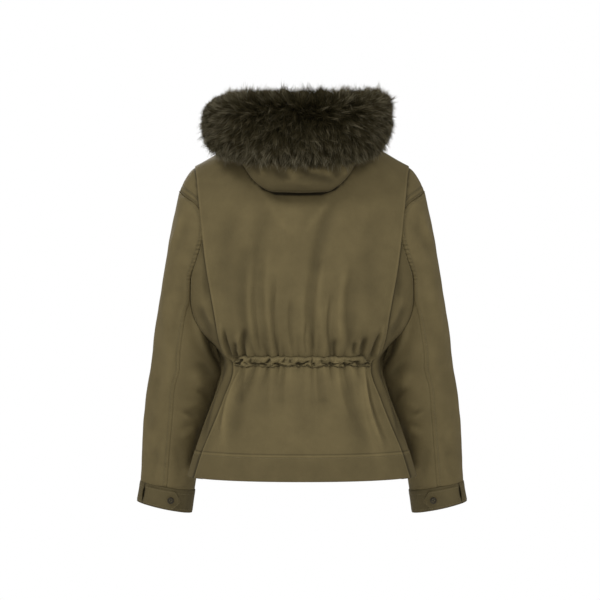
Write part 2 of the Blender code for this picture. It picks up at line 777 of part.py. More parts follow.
def cuff_button(name, side, finish):
    centre = cuff_point(BUTTON_ANGLE, TAB_MIDDLE)
    beside = cuff_point(BUTTON_ANGLE + NEAR, TAB_MIDDLE) - centre
    below = cuff_point(BUTTON_ANGLE, 1.0) - centre
    facing = beside.cross(below).normalized()
    if facing.dot(from_arm(centre)) < 0:
        facing.negate()
    centre += facing * (TAB_OUT + TAB_CLOTH / 2 + BUTTON_GAP + BUTTON_THICK / 2)
    centre.x *= side
    facing.x *= side
    return button(name, centre, facing, finish)


# ---- hood and fur -------------------------------------------------------------------------------
def neck_point(angle):
    """Point of the neckline; the angle runs from the back, positive to the wearer's left."""
    a = math.radians(angle)
    back = math.cos(a) >= 0
    reach = NECK_BACK if back else NECK_FRONT
    drop = NECK_BACK_DROP if back else NECK_FRONT_DROP
    lift = PLEAT_OUT_TOP * ease(math.cos(a), 0.0, COLLAR_RISE)
    return Vector((NECK * math.sin(a), reach * math.cos(a), lift - drop * math.cos(a) ** 2))


def spline(points, t):
    """Point at share t of a smooth curve through the given points."""
    s = t * (len(points) - 1)
    i = min(int(s), len(points) - 2)
    s -= i
    p0, p1, p2, p3 = (points[min(max(k, 0), len(points) - 1)] for k in range(i - 1, i + 3))
    return tuple(
        0.5 * (2 * b + (c - a) * s + (2 * a - 5 * b + 4 * c - d) * s * s + (3 * b - a - 3 * c + d) * s**3)
        for a, b, c, d in zip(p0, p1, p2, p3)
    )


def hood_point(angle, share):
    """The hood runs from the neckline down to the fold of its pouch and up the outside to the fur."""
    drop, reach, outer = blend(HOOD, abs(angle))
    path = []
    for (out_pouch, up_pouch), (out_stand, up_stand) in zip(HOOD_POUCH, HOOD_STAND):
        path.append((out_pouch * reach + out_stand * (1 - min(reach, 1.0)), mix(up_stand, up_pouch, drop)))
    fold = path[HOOD_FOLD]
    for k in range(HOOD_FOLD + 1, len(path)):
        path[k] = tuple(mix(low, high, outer) for low, high in zip(fold, path[k]))
    out, up = spline(path, share)
    a = math.radians(angle * mix(1.0, HOOD_LEAN, min(reach, 1.0)))
    return neck_point(angle) + Vector((out * math.sin(a), out * math.cos(a), up))


def hood(finish):
    grid = []
    for r in range(HOOD_ROWS + 1):
        line = []
        for c in range(HOOD_COLUMNS + 1):
            u = 2 * c / HOOD_COLUMNS - 1
            angle = HOOD_END * mix(u * abs(u), u, HOOD_EVEN)
            line.append(hood_point(angle, r / HOOD_ROWS))
        grid.append(line)
    return wall("hood", grid, finish)


def fur_section(share, side):
    """One ring of the fur band."""
    x, y, z, thick, tall, lean = blend(FUR, share)
    ahead = blend(FUR, min(share + FUR_STEP, 1.0))
    behind = blend(FUR, max(share - FUR_STEP, 0.0))
    way = Vector((ahead[0] - behind[0], ahead[1] - behind[1], 0.0)).normalized()
    if share < FUR_STEP:
        way = Vector((1.0, 0.0, 0.0))
    out = Vector((-way.y, way.x, 0.0))
    ring = []
    for k in range(FUR_SIDES):
        a = 2 * math.pi * k / FUR_SIDES
        r, h = math.cos(a), math.sin(a)
        wave = math.sin(FUR_WAVE_ROUND[0] * a + FUR_WAVE_ROUND[1] * share)
        wave *= math.cos(FUR_WAVE_ALONG[0] * a + FUR_WAVE_ALONG[1] * share)
        locks = 1 + FUR_LOCKS * wave
        reach = thick * r * (1.0 if r > 0 else FUR_INNER) * locks
        reach += lean * max(-h, 0.0) ** FUR_LEAN_POWER
        p = Vector((x, y, z)) + out * reach + Vector((0, 0, tall * h * locks))
        p.x *= side if side > 0 else -FUR_RIGHT
        ring.append(p)
    return ring


def fur_trim(finish):
    """A thick band of fur that lies round the neck, open at the front."""
    rings = []
    for i in range(-FUR_RINGS, FUR_RINGS + 1):
        ring = fur_section(abs(i) / FUR_RINGS, 1 if i >= 0 else -1)
        rings.append(ring)
    for end in (0, -1):
        near = rings[end]
        middle = sum(near, Vector()) / len(near)
        inner = sum(rings[1 if end == 0 else -2], Vector()) / len(near)
        way = (middle - inner).normalized()
        for k in range(1, FUR_END_ROUND):
            a = math.pi / 2 * k / FUR_END_ROUND
            ring = [middle + way * FUR_END * math.sin(a) + (p - middle) * math.cos(a) for p in near]
            if end == 0:
                rings.insert(0, ring)
            else:
                rings.append(ring)
    return loft("fur_trim", rings, finish)


# ---- the whole ----------------------------------------------------------------------------------
def main():
    cloth = material("olive_gabardine", (0.127, 0.100, 0.050), 0.85)
    facing_cloth = material("olive_gabardine_trim", (0.115, 0.090, 0.045), 0.85)
    fur = material("dark_olive_fur", (0.024, 0.020, 0.010), 0.95)
    horn = material("dark_olive_button", (0.060, 0.048, 0.024), 0.4)
    back_panel(cloth)
    casing(facing_cloth)
    placket(facing_cloth)
    for index in range(PLACKET_BUTTONS):
        placket_button(index, horn)
    for side, label in ((1, "left"), (-1, "right")):
        side_back(f"side_back_{label}", side, cloth)
        front(f"front_{label}", side, cloth)
        sleeve_outer(f"sleeve_outer_{label}", side, cloth)
        sleeve_under(f"sleeve_under_{label}", side, cloth)
        cuff(f"cuff_{label}", side, facing_cloth)
        cuff_tab(f"cuff_tab_{label}", side, facing_cloth)
        cuff_button(f"cuff_button_{label}", side, horn)
    hood(cloth)
    fur_trim(fur)


for old in list(bpy.data.objects):
    bpy.data.objects.remove(old, do_unlink=True)
COLLECTION = bpy.data.collections.new("fur_trimmed_parka")
bpy.context.scene.collection.children.link(COLLECTION)
main()
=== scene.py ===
"""Dresses the fur-trimmed parka's plain solids: creased gabardine, stitching, buttons and fur.

The front faces -Y and the wearer's left is +X. Tables and lengths are in millimetres unless a
property says otherwise; every mesh is made in metres, in the frame of the packed model.
"""

import json
import math

import bpy
import numpy as np
from mathutils import Matrix, Vector

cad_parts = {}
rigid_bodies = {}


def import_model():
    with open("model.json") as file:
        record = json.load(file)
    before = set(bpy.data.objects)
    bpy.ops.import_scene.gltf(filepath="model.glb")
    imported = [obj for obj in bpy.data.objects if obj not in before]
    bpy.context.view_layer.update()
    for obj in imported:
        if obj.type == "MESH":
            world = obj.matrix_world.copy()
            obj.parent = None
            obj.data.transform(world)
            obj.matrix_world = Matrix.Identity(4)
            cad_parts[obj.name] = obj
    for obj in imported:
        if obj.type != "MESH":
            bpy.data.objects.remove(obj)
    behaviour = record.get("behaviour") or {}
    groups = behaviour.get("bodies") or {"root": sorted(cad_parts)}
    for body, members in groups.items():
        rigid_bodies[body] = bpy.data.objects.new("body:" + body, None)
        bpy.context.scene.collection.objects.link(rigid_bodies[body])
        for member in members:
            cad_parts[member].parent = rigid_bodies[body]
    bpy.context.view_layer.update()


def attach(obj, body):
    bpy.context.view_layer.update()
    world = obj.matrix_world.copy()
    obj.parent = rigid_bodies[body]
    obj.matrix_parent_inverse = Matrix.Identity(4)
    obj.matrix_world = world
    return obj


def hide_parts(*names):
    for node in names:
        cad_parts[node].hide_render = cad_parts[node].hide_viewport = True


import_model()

bl_info = {
    "name": "Fur-trimmed parka",
    "version": (1, 0, 0),
    "blender": (4, 5, 0),
    "location": "3D View > Sidebar > Parka",
    "description": "Dresses the parka's solids in creased gabardine, stitching, buttons and fur",
    "category": "Object",
}

MM = 0.001

# ---- torso ----
HEM = -629.0
UNDERARM = -393.0
ARM_TOP = -104.0
NECK = 80.0
NECK_REACH = {True: 58.0, False: 75.0}  # behind and in front of the shoulder line
NECK_DROP = {True: 12.0, False: 85.0}
SHOULDER = (200.0, -59.0)
SHOULDER_STRAIGHT = 0.45
SHOULDER_END = (110.0, 185.0)
SHOULDER_SINK = 3.6
SHOULDER_THIN = 2.0  # how much less the back stands out at the end of its shoulder
SHOULDER_RISE = (-125.0, -64.0)  # heights between which it grows thinner
CORNER = ((120.0, 195.0), (-120.0, -62.0))  # x and heights between which the corner sinks
ROUNDING = 110.0
TOP_STEPS = 12
EVEN_STEPS = 41
EDGE_SHARE = 0.4  # the most of a panel's width that the columns of one edge may take
ROW_CLEAR = 1.5  # how far an even row keeps from the rows of the hem
SEAM_SHARE = 0.305  # where the sleeve's seams leave the armhole, as a share of its height
# height, half width, depth behind, depth in front, squareness of the section
BODY = [
    (-629, 211, 124, 130, 2.2), (-560, 190, 116, 124, 2.2), (-500, 169, 106, 117, 2.2),
    (-450, 150, 95, 109, 2.2), (-418, 143, 86, 103, 2.2), (-393, 157, 98, 113, 2.3),
    (-351, 199, 112, 122, 2.4), (-305, 215, 114, 124, 2.5), (-268, 220, 113, 124, 2.5),
    (-194, 226, 112, 123, 2.5), (-134, 230, 107, 118, 2.5), (-104, 232, 102, 112, 2.5),
    (0, 235, 96, 100, 2.5),
]
# height, half width of the armhole seam
ARMHOLE = [
    (-393, 157), (-375, 174), (-351, 190), (-330, 199), (-305, 203), (-268, 202), (-230, 190),
    (-194, 179), (-165, 176), (-134, 190), (-118, 211), (-110, 221), (-104, 226),
]
# height, half width of the folded edge of the back panel
PLEAT = [
    (-629, 189), (-578, 173), (-532, 154), (-487, 136.5), (-432, 119), (-419, 119), (-410, 124),
    (-399, 137), (-372, 146), (-341, 151), (-269, 164), (-242, 168.5), (-174, 176.5), (-129, 181.5),
    (-102, 185.5), (-71, 191.5), (-59, 195),
]
PLEAT_OUT_TOP = 5.0
PLEAT_OUT = 7.5
PLEAT_OUT_FROM = -140.0
PLEAT_UNDER = 1.9
PLEAT_RETURN = 12.0
ROLL_ANGLES = (60, 30, 0, -30, -60, -90)  # round the pleat's rolled edge
ROLL_WIDTH = 0.75  # its reach sideways as a share of its half thickness
PLEAT_SHADE = (1.0, 0.0, -2.0, -4.4, -4.8, -4.8, -4.8, -4.8)  # painted shade along the same edge and its return
PLEAT_LIGHT = (5.0, 4.5, 1.0, -5.0, -6.0, -6.0, -6.0, -6.0)  # the same on the skirt, with a painted highlight on the rolled edge
UNDERLAP = 9.0
SIDE_NEAR = [0.0, 8.0, 11.0, 12.4, 13.5, 14.5, 15.4, 16.3, 17.2, 18.2, 19.4, 21.2]
SIDE_FAR = [0.0, 0.8, 1.6, 2.4, 3.2, 4.2, 6.0, 9.0, 11.8, 13.0, 14.2]
CAP_STITCHES = (3.2, 13.0)  # the rows of stitches beside the armhole, from its seam
CAP_DIPS = (3.4, 13.0)  # the middles of the hollows they lie in
CAP_TOP = (-165.0, -150.0)  # heights between which they begin
BACK_CALM = (7.0, 0.5)  # how far inside its edge the back's folds begin to fade, and end
BACK_TOP = (-95.0, -62.0)  # heights between which they fade
BACK_TONE = (0.62, 0.9)  # strength of their shade, away from the waist and at it
BACK_DEEPER = 0.8  # painted shade that keeps the whole back darker than the other cloth

# ---- soft creases: x and height of both ends, half width at each, depth (a ridge where positive) ----
BACK_CREASES = [
    (98, -212, 97, -376, 15, 8, -6), (86, -230, 84, -384, 9, 6, 4), (66, -136, 60, -392, 15, 8, -4),
    (80, -200, 72, -404, 9, 3, -4.5), (56, -200, 51, -398, 9, 5, 3), (47, -270, 42, -404, 5, 2.4, -4.5),
    (-54, -132, -24, -262, 9, 14, -5.5), (-28, -236, -23, -404, 11, 3, -4.5),
    (-8, -260, -8, -398, 8, 5, 2.6), (-94, -236, -86, -392, 15, 7, -5), (-76, -250, -70, -390, 8, 6, 4),
    (62, -126, 24, -186, 10, 6, 2.2), (-50, -130, -6, -186, 7, 5, 2.4),
    (-40, -215, -39, -392, 8, 5, 2.8), (-51, -300, -50, -404, 4, 2.4, -4.5),
    (-58, -374, -59, -408, 4, 3, -7), (122, -150, 126, -330, 20, 14, -3.5),
    (-130, -150, -128, -330, 20, 14, -3.5), (19, -300, 16, -398, 5, 2.4, -3.2),
    (-7, -345, -8, -404, 3, 2.2, -3.6), (137, -358, 120, -412, 3.2, 2.6, -8),
    (145, -348, 127, -408, 4.5, 3.5, 5), (119, -378, 114, -412, 4, 3.2, -7),
    (102, -358, 99, -412, 5, 3.5, -8), (112, -362, 107, -400, 5, 4, 5),
    (-139, -360, -122, -412, 3.2, 2.6, -8), (-146, -350, -129, -408, 4.5, 3.5, 5),
    (-113, -370, -106, -412, 5.5, 3.5, -9), (-104, -372, -98, -400, 5, 4, 4.5),
    (-94, -378, -91, -400, 4, 3, -6), (86, -434, 124, -560, 5, 15, -4.6),
    (104, -434, 140, -600, 5, 12, 3.5), (112, -432, 146, -548, 2.4, 3.6, -5),
    (107, -432, 138, -556, 2.4, 3.6, 5), (100, -432, 112, -490, 4, 8, -5),
    (56, -430, 62, -520, 5, 12, -2.4), (30, -430, 36, -500, 5, 9, -3), (-6, -430, -3, -560, 5, 18, -2.2),
    (-34, -430, -44, -500, 5, 9, -2.6), (-82, -440, -114, -566, 6, 15, -4.8),
    (-60, -432, -82, -520, 5, 10, 3), (-104, -434, -138, -600, 6, 12, 3.5),
    (-112, -432, -149, -560, 2.4, 3.6, -4.6), (-107, -432, -141, -570, 2.4, 3.6, 5),
    (-46, -486, -24, -489, 2.4, 2.4, -1.3),
]
SIDE_CREASES = [
    (186, -318, 162, -372, 9, 6, -3.2), (180, -300, 158, -352, 8, 5, 2.4),
    (170, -240, 172, -300, 8, 8, -3), (140, -430, 180, -560, 5, 9, -4),
]
FRONT_CREASES = [
    (38, -150, 44, -330, 12, 18, -4), (74, -190, 60, -420, 14, 10, -5.5),
    (112, -120, 96, -300, 12, 18, -4), (128, -300, 112, -430, 12, 8, -6),
    (150, -352, 128, -424, 9, 6, 5), (160, -270, 140, -395, 11, 8, -5), (92, -430, 122, -590, 9, 18, -5),
    (54, -450, 66, -600, 10, 16, -3.5), (128, -430, 166, -590, 8, 14, -4.5),
    (150, -180, 172, -290, 12, 14, 4), (60, -90, 110, -180, 9, 12, -3),
]
# gathers of the waist: x, half width, depth, reach above the casing, reach below
GATHERS = [
    (-118, 4, -4, 22, 34), (-106, 3.5, 2.6, 30, 46), (-97, 3.6, -3.6, 34, 60), (-84, 4, 2.4, 40, 36),
    (-73, 3.4, -3.4, 30, 48), (-62, 4.2, 2.6, 26, 70), (-49, 3.2, -4.2, 62, 44), (-38, 4, 2, 30, 30),
    (-27, 3.4, -2.6, 24, 56), (-18, 3.6, -3.4, 70, 90), (-7, 4.6, 2.4, 34, 40), (6, 3.2, -2.6, 24, 30),
    (19, 4.4, 2.2, 30, 52), (31, 3.4, -3, 22, 34), (41, 3.2, -4.4, 66, 50), (52, 4.4, 2.6, 40, 36),
    (60, 3.2, -4.2, 22, 42), (72, 3.6, 2.6, 24, 56), (82, 3.4, -3.4, 34, 40), (95, 4, 2.6, 44, 44),
    (104, 3.6, -4.6, 30, 62), (117, 4, -3.6, 22, 36),
]
WAIST = -400.0
WAIST_BAND = 42.0
SKIRT = (-455.0, -425.0)  # heights between which the light on the skirt's edges ends
EDGE_LIGHT = (1.8, 2.5)  # painted highlight: how much lighter the back's edges are, above and on the skirt
SIDE_HOLLOW = (-414.0, 34.0)  # height and half height of the shade beside the side seams
FRONT_HOLLOW = (-412.0, 34.0)
GATHER_DEPTH = 0.8
GATHER_CALM = 0.85  # gathers above the casing against those below it
FOLD_SKEW = 0.42  # how much steeper one side of a fold is than the other
# short slanting creases of the ruched casing
RUCHES = [
    (119.3, -419.8, 109.1, -417.8, 2.6, 2.6, -6), (109.8, -407.7, 103.3, -406.8, 2.2, 2.2, -3),
    (103.7, -407.7, 107.6, -423.8, 2.4, 2.4, -5.5), (88.9, -405.6, 87.5, -421.8, 2, 2, -3.6),
    (87.3, -421.4, 82.4, -419, 1.8, 1.8, -4.6), (81.9, -416.5, 74.5, -423.8, 2.8, 2.8, -6),
    (74.5, -423.8, 67.5, -414.9, 2.2, 2.2, -5), (68.8, -417.8, 62.1, -423.8, 2.2, 2.2, -4.6),
    (64.1, -415.7, 55.8, -406, 2, 2, -3.8), (48.6, -414.5, 39.6, -422.6, 2.4, 2.4, -6),
    (39.6, -424.6, 14.4, -425, 2.2, 2.2, -5.5), (30.6, -405.2, 36, -415.7, 2, 2, -3.2),
    (21.2, -405.6, 20.2, -416.9, 1.6, 1.6, -1.8), (11.3, -424.6, 8.6, -414.5, 2, 2, -4.6),
    (9.7, -414.5, 1.1, -423, 2.4, 2.4, -6.5), (1.8, -423.8, -9.7, -409.3, 2.4, 2.4, -6),
    (-17.5, -403.6, -17.8, -425.8, 1.2, 1.2, -2.6), (-19.8, -414.9, -21.2, -423.8, 1.6, 1.6, -3.8),
    (-32, -406.4, -37.1, -415.7, 2, 2, -1.8), (-35.3, -420.6, -45, -424.2, 1.8, 1.8, -3),
    (-47.5, -414.5, -54.4, -424.6, 2.6, 2.6, -6.5), (-54, -419.8, -63.7, -412.9, 1.8, 1.8, -5),
    (-64.4, -424.2, -71.6, -413.7, 1.8, 1.8, -3), (-72, -416.1, -76, -424.6, 2, 2, -4.6),
    (-75.6, -424.6, -85.3, -419.4, 1.9, 1.9, -5), (-82.1, -406.8, -88.2, -415.7, 1.8, 1.8, -2.8),
    (-90.7, -410.9, -97.6, -424.2, 2.6, 2.6, -6.5), (-97.9, -410.9, -93.2, -416.5, 1.7, 1.7, -3.8),
    (-104.8, -424.6, -111.6, -415.3, 2.3, 2.3, -6.2), (-111.6, -415.5, -119.5, -420.2, 2, 2, -5.6),
    (97.9, -412.5, 92.2, -423, 1.8, 1.8, -2.6), (54.7, -424.2, 46.4, -419, 1.6, 1.6, -2.8),
]
RUCHE_DEPTH = 1.25
RUCHE_WIDTH = 1.3
CASING_TOP = -402.0
CASING_BOTTOM = -427.0
CASING_GRID = (23, 341)
CASING_TAPER = (0.80, 0.99)  # shares of its half length between which its ends narrow
CASING_BUNCHED = (98.0, 114.0)  # x between which its ends grow more crumpled, and darker with painted shade
CASING_FLAT = 0.62  # above this share of its half height the casing is a flat stitched edge
CASING_STITCH = 0.86  # where that edge is stitched, as a share of the half height
CASING_INSET = 1.5
CASING_PUFF = 5.6
CASING_END = 12.0  # how far its upper edge drops at the ends
CASING_LIFT = (0.9, 1.4)  # how far the casing lies off the back, at its lower and upper edge
CASING_DRIFT = 2.8
# the front isn't drawn in by the cord: two heights, and its depths there, between which it hangs
FRONT_STRAIGHT = ((-500.0, -351.0), (117.0, 122.0))
FRONT_SLACK = 0.95

# ---- seams and hems ----
HEM_BAND = 48.0  # depth of the turned-up hem
HEM_STITCH = 6.4  # its lower row of stitches below the band's edge
HEM_STEP = 0.7  # how far the doubled hem stands proud
STITCH_UP = HEM + HEM_BAND - HEM_STITCH
HEM_ROWS = [HEM + d for d in (0.8, 1.8, 3.5)]
HEM_ROWS += [
    HEM + HEM_BAND + d for d in (-8.4, -7.2, -6.4, -5.6, -4.4, -3.2, -2.0, -1.0, -0.2, 0.6, 1.4, 2.6)
]
STITCH_SHADE = 2.6  # how dark a row of stitches looks, on the scale of the folds
SHADE_SCALE = 6.0  # the shade that a cloth's map counts as full
THREAD_LIFT = 0.75
PUCKER = 0.9  # height of the small puckers along a topstitched seam
PUCKER_LENGTH = 7.6
ALLOWANCE = (1.6, 2.2)  # how far a seam allowance reaches aside and in
ALLOWANCE_SHADE = -3.0

# ---- sleeves: height, outer reach, middle, y of the middle, half depth, tilt of the ring ----
SLEEVE = [
    (-697, 312, 261.5, -90, 42, 11), (-656, 305.5, 255, -85, 44, 8.5), (-605, 303, 249.5, -77, 48, 7),
    (-550, 299, 241.5, -66, 53, 6), (-490, 292.5, 228, -52, 58, 5), (-460, 287.5, 219.5, -45, 60, 4.5),
    (-430, 282, 211.5, -38, 62, 4), (-400, 278, 213, -30, 64.5, 3), (-368, 273.5, 213, -20, 66, 2),
    (-302, 262.5, 208, -4, 69, 0), (-235, 251.5, 197, 0, 70, 0), (-168, 239.5, 186, 0, 68, 0),
    (-104, 226, 214, 0, 20, 0),
]
CUFF_TOP = -656.0
CUFF_BOTTOM = -697.0
CUFF_ROWS = [CUFF_TOP + d for d in (0.8, 2.0, 4.0)]
SLEEVE_TOP_FROM = -150.0
AWAY_BESIDE = (1.0, -0.25)
AWAY_BELOW = (0.45, -0.9)
SEAM_GAP = 0.6
SEAM_FADE = 90.0
SEAM_POWER = 4
SEAM_Z = UNDERARM + (ARM_TOP - UNDERARM) * SEAM_SHARE
SEAM_EDGES = [0.0, 0.7, 1.5, 3.0, 5.0, 6.5, 7.5, 9.0, 12.0]
TOPSTITCH = 6.5
RUNGS = (-286.0, -268.0, -202.0, -188.0)  # heights between which the seam is ladder-like
ARM_VALLEY = (-190.0, -305.0)
DEGREE = 0.9  # length of a degree round the arm
# height, angle of the sleeve's back and front seams from its outer side
SEAM_ANGLE = [
    (-656, 92), (-600, 91), (-564, 89.5), (-520, 86), (-462, 79), (-420, 79.5), (-395, 81.5),
    (-370, 86.5), (-345, 93), (-322, 99), (-305, 104), (-190, 90),
]
# creases of a sleeve: angle from its outer side (back positive) and height of both ends,
# half width at each end, depth
SLEEVE_CREASES = [
    (62, -150, 40, -205, 9, 6, 4), (70, -165, 48, -225, 8, 8, -3.5), (80, -250, 62, -400, 12, 18, -3.5),
    (44, -300, 58, -470, 16, 12, 3), (72, -560, 50, -600, 8, 10, -2.5),
    (36, -430, 24, -560, 12, 14, -2.5), (62, -590, 46, -650, 9, 7, -2.5),
    (-30, -180, -52, -300, 12, 15, -3.5), (-60, -240, -78, -400, 12, 15, -4),
    (-78, -430, -46, -475, 8, 9, -5.5), (-80, -460, -50, -505, 7, 8, 4),
    (-80, -500, -40, -540, 8, 9, -4.5), (-30, -520, -50, -640, 10, 12, -3),
]
UNDER_CREASES = [
    (103, -512, 126, -524, 3, 4.5, -3.6), (104, -506, 130, -494, 4, 6, 2.8),
    (106, -520, 132, -536, 4, 6, 2.6), (110, -544, 136, -532, 3, 5, -2.4),
    (112, -560, 140, -548, 6, 8, 3.5), (112, -420, 134, -448, 7, 9, -5),
    (104, -440, 124, -470, 7, 9, 3.5), (118, -470, 150, -492, 6, 8, -4),
    (100, -580, 122, -640, 8, 9, -3), (150, -540, 140, -620, 9, 9, -3),
    (-150, -410, -120, -470, 8, 9, -4), (-156, -500, -122, -556, 8, 9, -3.5),
    (-120, -440, -104, -500, 7, 8, 3.5), (-112, -520, -140, -590, 8, 9, -3.5),
]

# ---- cuffs and buttons ----
CUFF_OUT = 1.0
CUFF_CLOTH = 2.2
CUFF_RADIUS = 50.0
SLIT_ANGLE = 40.0  # degrees round the cuff from its outer side
SLIT_HALF = 4.2  # half its width where it gapes most
SLIT_LIP = 1.6  # how far its edges stand out there
TAB_MIDDLE = 0.53
TAB_OUT = 3.2
TAB_CLOTH = 1.6
TAB_FROM = 44.5
TAB_TO = 124.0
TAB_POINT = 14.0
TAB_HALF = 17.0
TAB_NARROWING = 0.97
BUTTON_ANGLE = 103.0
BUTTON_RADIUS = 6.3
BUTTON_THICK = 2.6
BUTTON_HOLE = 1.35  # its holes from the middle, along x and y
BUTTON_BORE = 0.75
BUTTON_GAP = 0.3

# ---- front closing ----
CLOSING_GAP = 0.5
PLACKET_COLUMN = 1 / 11
PLACKET_SHARE = 0.68
PLACKET_OUT = 2.5
PLACKET_CLOTH = 1.6
PLACKET_STITCH = 6.0
PLACKET_TOP_GAP = 3.0
PLACKET_BUTTONS = 6
PLACKET_BUTTON_TOP = -135.0
PLACKET_BUTTON_STEP = 86.0

# ---- hood: angle round the neck from the back, shares of the pouch's drop, reach and outer side ----
HOOD = [
    (0, 1, 1, 1), (18, 1, 1, 1), (27, 0.93, 1.04, 0.9), (36, 0.78, 1.1, 0.6), (44, 0.58, 1.12, 0.4),
    (52, 0.38, 1.04, 0.35), (60, 0.16, 0.8, 0.4), (70, 0, 0.2, 0.8), (84, 0, 0, 1), (160, 0, 0, 1),
]
HOOD_FOLD = 4
HOOD_POUCH = [(0, 3), (30, -4), (45, -32), (53, -73), (62, -104), (85, -102.5), (96, -78), (96, -44)]
HOOD_STAND = [(-1.5, 4), (-1, 6), (0, 9), (1.5, 12), (3, 15), (5, 18), (7, 20), (9, 22)]
HOOD_LEAN = 0.75
HOOD_LIP = (0.688, 0.706)  # shares between which the pouch turns under, into its own shade
HOOD_END = 158.0
HOOD_EVEN = 0.45
COLLAR_RISE = 0.3
POUCH_LEFT = 11.0  # how much further the pouch reaches on the left
POUCH_ROWS = (0.706, 0.742, 14)  # close rows of the back panel below it: shares and count
# creases on the pouch: x and height of both ends, half width at each, depth
HOOD_CREASES = [
    (4, -72, -42, -90, 3.5, 5, -7), (-8, -72, -52, -80, 4.5, 7, 6.5), (40, -72, 26, -94, 6, 7, -5.5),
    (62, -66, 56, -86, 4, 5, 4), (74, -62, 62, -80, 3.5, 4, -4), (22, -70, 12, -92, 7, 8, 5),
    (-60, -66, -64, -88, 5, 5, -5), (-72, -64, -76, -84, 5, 5, 3.5), (30, -92, -20, -98, 4, 4, 2.4),
    (-30, -74, -56, -98, 5, 6, -3),
]
# where the pouch rests on the back panel: x, height
POUCH_OUTLINE = [
    (108, -57), (90, -85.5), (69.5, -107.5), (48, -115.8), (7, -117.3), (-33, -115.8), (-58, -108.6),
    (-77, -89.5), (-95, -60),
]

# the painted shadow line under the pouch, at its ends and in its middle
SHADOW_LINE_FADE = (38.0, 60.0)  # x between which it changes
SHADOW_LINE_DARK = (12.0, 22.0)
SHADOW_LINE_WIDTH = (2.4, 3.2)

# ---- fur: share of the way from back to front, x, y, z, half thickness, half height, lean ----
FUR = [
    (0, 0, 141, -1, 49, 77, 27), (0.18, 64, 132, 1, 49, 75, 27), (0.34, 115, 98, 10, 49, 67, 26),
    (0.5, 140, 42, 33, 48, 49, 12), (0.64, 134, -18, 32, 45, 48, 10), (0.78, 107, -74, 12, 42, 46, 14),
    (0.9, 74, -110, -24, 38, 42, 14), (1, 38, -128, -74, 33, 35, 8),
]
FUR_RINGS = 81
FUR_SIDES = 48
FUR_RIGHT = 0.94
FUR_INNER = 0.76
FUR_STEP = 0.02
FUR_LEAN_POWER = 1.5
FUR_END = 22.0
FUR_END_RINGS = 5
FUR_SPREAD = (13.0, -2.0)  # how far the ends reach out below, on the left and on the right
FUR_CUT = 7.0
FUR_TUCK = 8.0
FUR_DIPS = (65.0, 8.0, -54.0)  # x of the dents in the upper outline
FUR_PARTING = 34.0  # degrees up the outer side of the band, where the hair parts
# how much longer the hair on top stands: x, share
FUR_TOP = [
    (-160, 0.35), (-148, 0.32), (-137, 0.17), (-126, 0.2), (-115, 0.3), (-104, 0.32), (-94, 0.22),
    (-83, 0.17), (-72, 0.03), (-61, 0.04), (-50, 0.09), (-40, 0.2), (-29, 0.24), (-18, 0.22), (-7, 0.09),
    (4, -0.08), (14, 0), (25, 0.04), (47, 0.01), (58, 0.09), (68, 0.02), (79, 0.1), (90, 0.07),
    (101, 0.09), (112, 0.18), (122, 0.14), (133, 0.13), (144, 0.09), (166, 0.15), (176, 0.2),
]
# lighter and darker patches of the hair: x, height, half width, half height, amount
FUR_PATCHES = [
    (62, -38, 50, 12, 0.16), (10, -44, 26, 10, 0.16), (170, 0, 22, 44, 0.2), (140, -20, 20, 14, 0.14),
    (-72, 40, 8, 24, 0.34), (-64, 62, 24, 10, 0.18), (120, 44, 26, 14, 0.12), (-3, 40, 7, 5, 0.36),
    (-118, 10, 18, 34, 0.14), (40, 40, 26, 16, 0.08), (88, 10, 22, 12, -0.1), (-40, 4, 26, 14, -0.1),
]
# waves that turn the hair a little: their rates along x, y and z, and a seed
FUR_STRAY = (((70.0, 50.0, 40.0), 2.0), ((-45.0, 60.0, 75.0), 5.0))
LOCK_SPREAD = 2.6
LOCK_GATHER = 0.55  # how far a lock's strands stay apart at the tip

# ---- stage, in metres ----
FLOOR_RADIUS = 3.2
VIEW_X = 0.0037
VIEW_Z = -0.305
# name, place, size, share of the key light's power
LIGHTS = (
    ("key_light", (1.8, 2.2, 2.1), 1.1, 0.92),
    ("fill_light", (-2.0, 2.2, 1.7), 1.4, 0.55),
    ("front_light", (0.3, 3.6, 0.4), 1.6, 0.28),
    ("far_light", (0.8, -2.8, 1.2), 1.6, 1.3),
)


# ---- numbers ----
def blend(table, key):
    """The other columns of a table at the given keys, by a smooth curve that never overshoots."""
    table = np.asarray(table, float)
    keys, values = table[:, 0], table[:, 1:]
    key = np.clip(np.asarray(key, float), keys[0], keys[-1])
    step = np.diff(keys)[:, None]
    slope = np.diff(values, axis=0) / step
    before, after = np.vstack([slope[:1], slope]), np.vstack([slope, slope[-1:]])
    same = before * after > 0
    bend = np.where(same, 2 * before * after / np.where(same, before + after, 1.0), 0.0)
    i = np.clip(np.searchsorted(keys, key, side="right") - 1, 0, len(step) - 1)
    t = ((key - keys[i]) / step[i, 0])[..., None]
    return (
        values[i] * (1 + 2 * t) * (1 - t) ** 2
        + values[i + 1] * t * t * (3 - 2 * t)
        + step[i] * (bend[i] * t * (1 - t) ** 2 - bend[i + 1] * t * t * (1 - t))
    )


def column(table, key):
    return blend(table, key)[..., 0]


def ease(value, low, high):
    """0 below low, 1 above high, smooth between."""
    t = np.clip((np.asarray(value, float) - low) / (high - low), 0.0, 1.0)
    return t * t * (3 - 2 * t)


def mix(a, b, t):
    return a + (b - a) * t


def hump(value, width):
    """1 at zero, and dying away on both sides."""
    return np.exp(-((value / width) ** 2))


def unit(vectors):
    return vectors / np.maximum(np.linalg.norm(vectors, axis=-1, keepdims=True), 1e-9)


def drift(place, seed):
    """A slow uneven wave between about -1 and 1."""
    total = 0.0
    for k, rate in enumerate((1.0, 1.73, 2.91, 4.37)):
        total = total + np.sin(rate * place + seed * (1.3 + 2.1 * k)) / (1 + 0.6 * k)
    return total / 2.2


def sided(scale):
    """Factors that scale x alone."""
    return np.stack([scale, 1 + 0 * scale, 1 + 0 * scale], axis=-1)


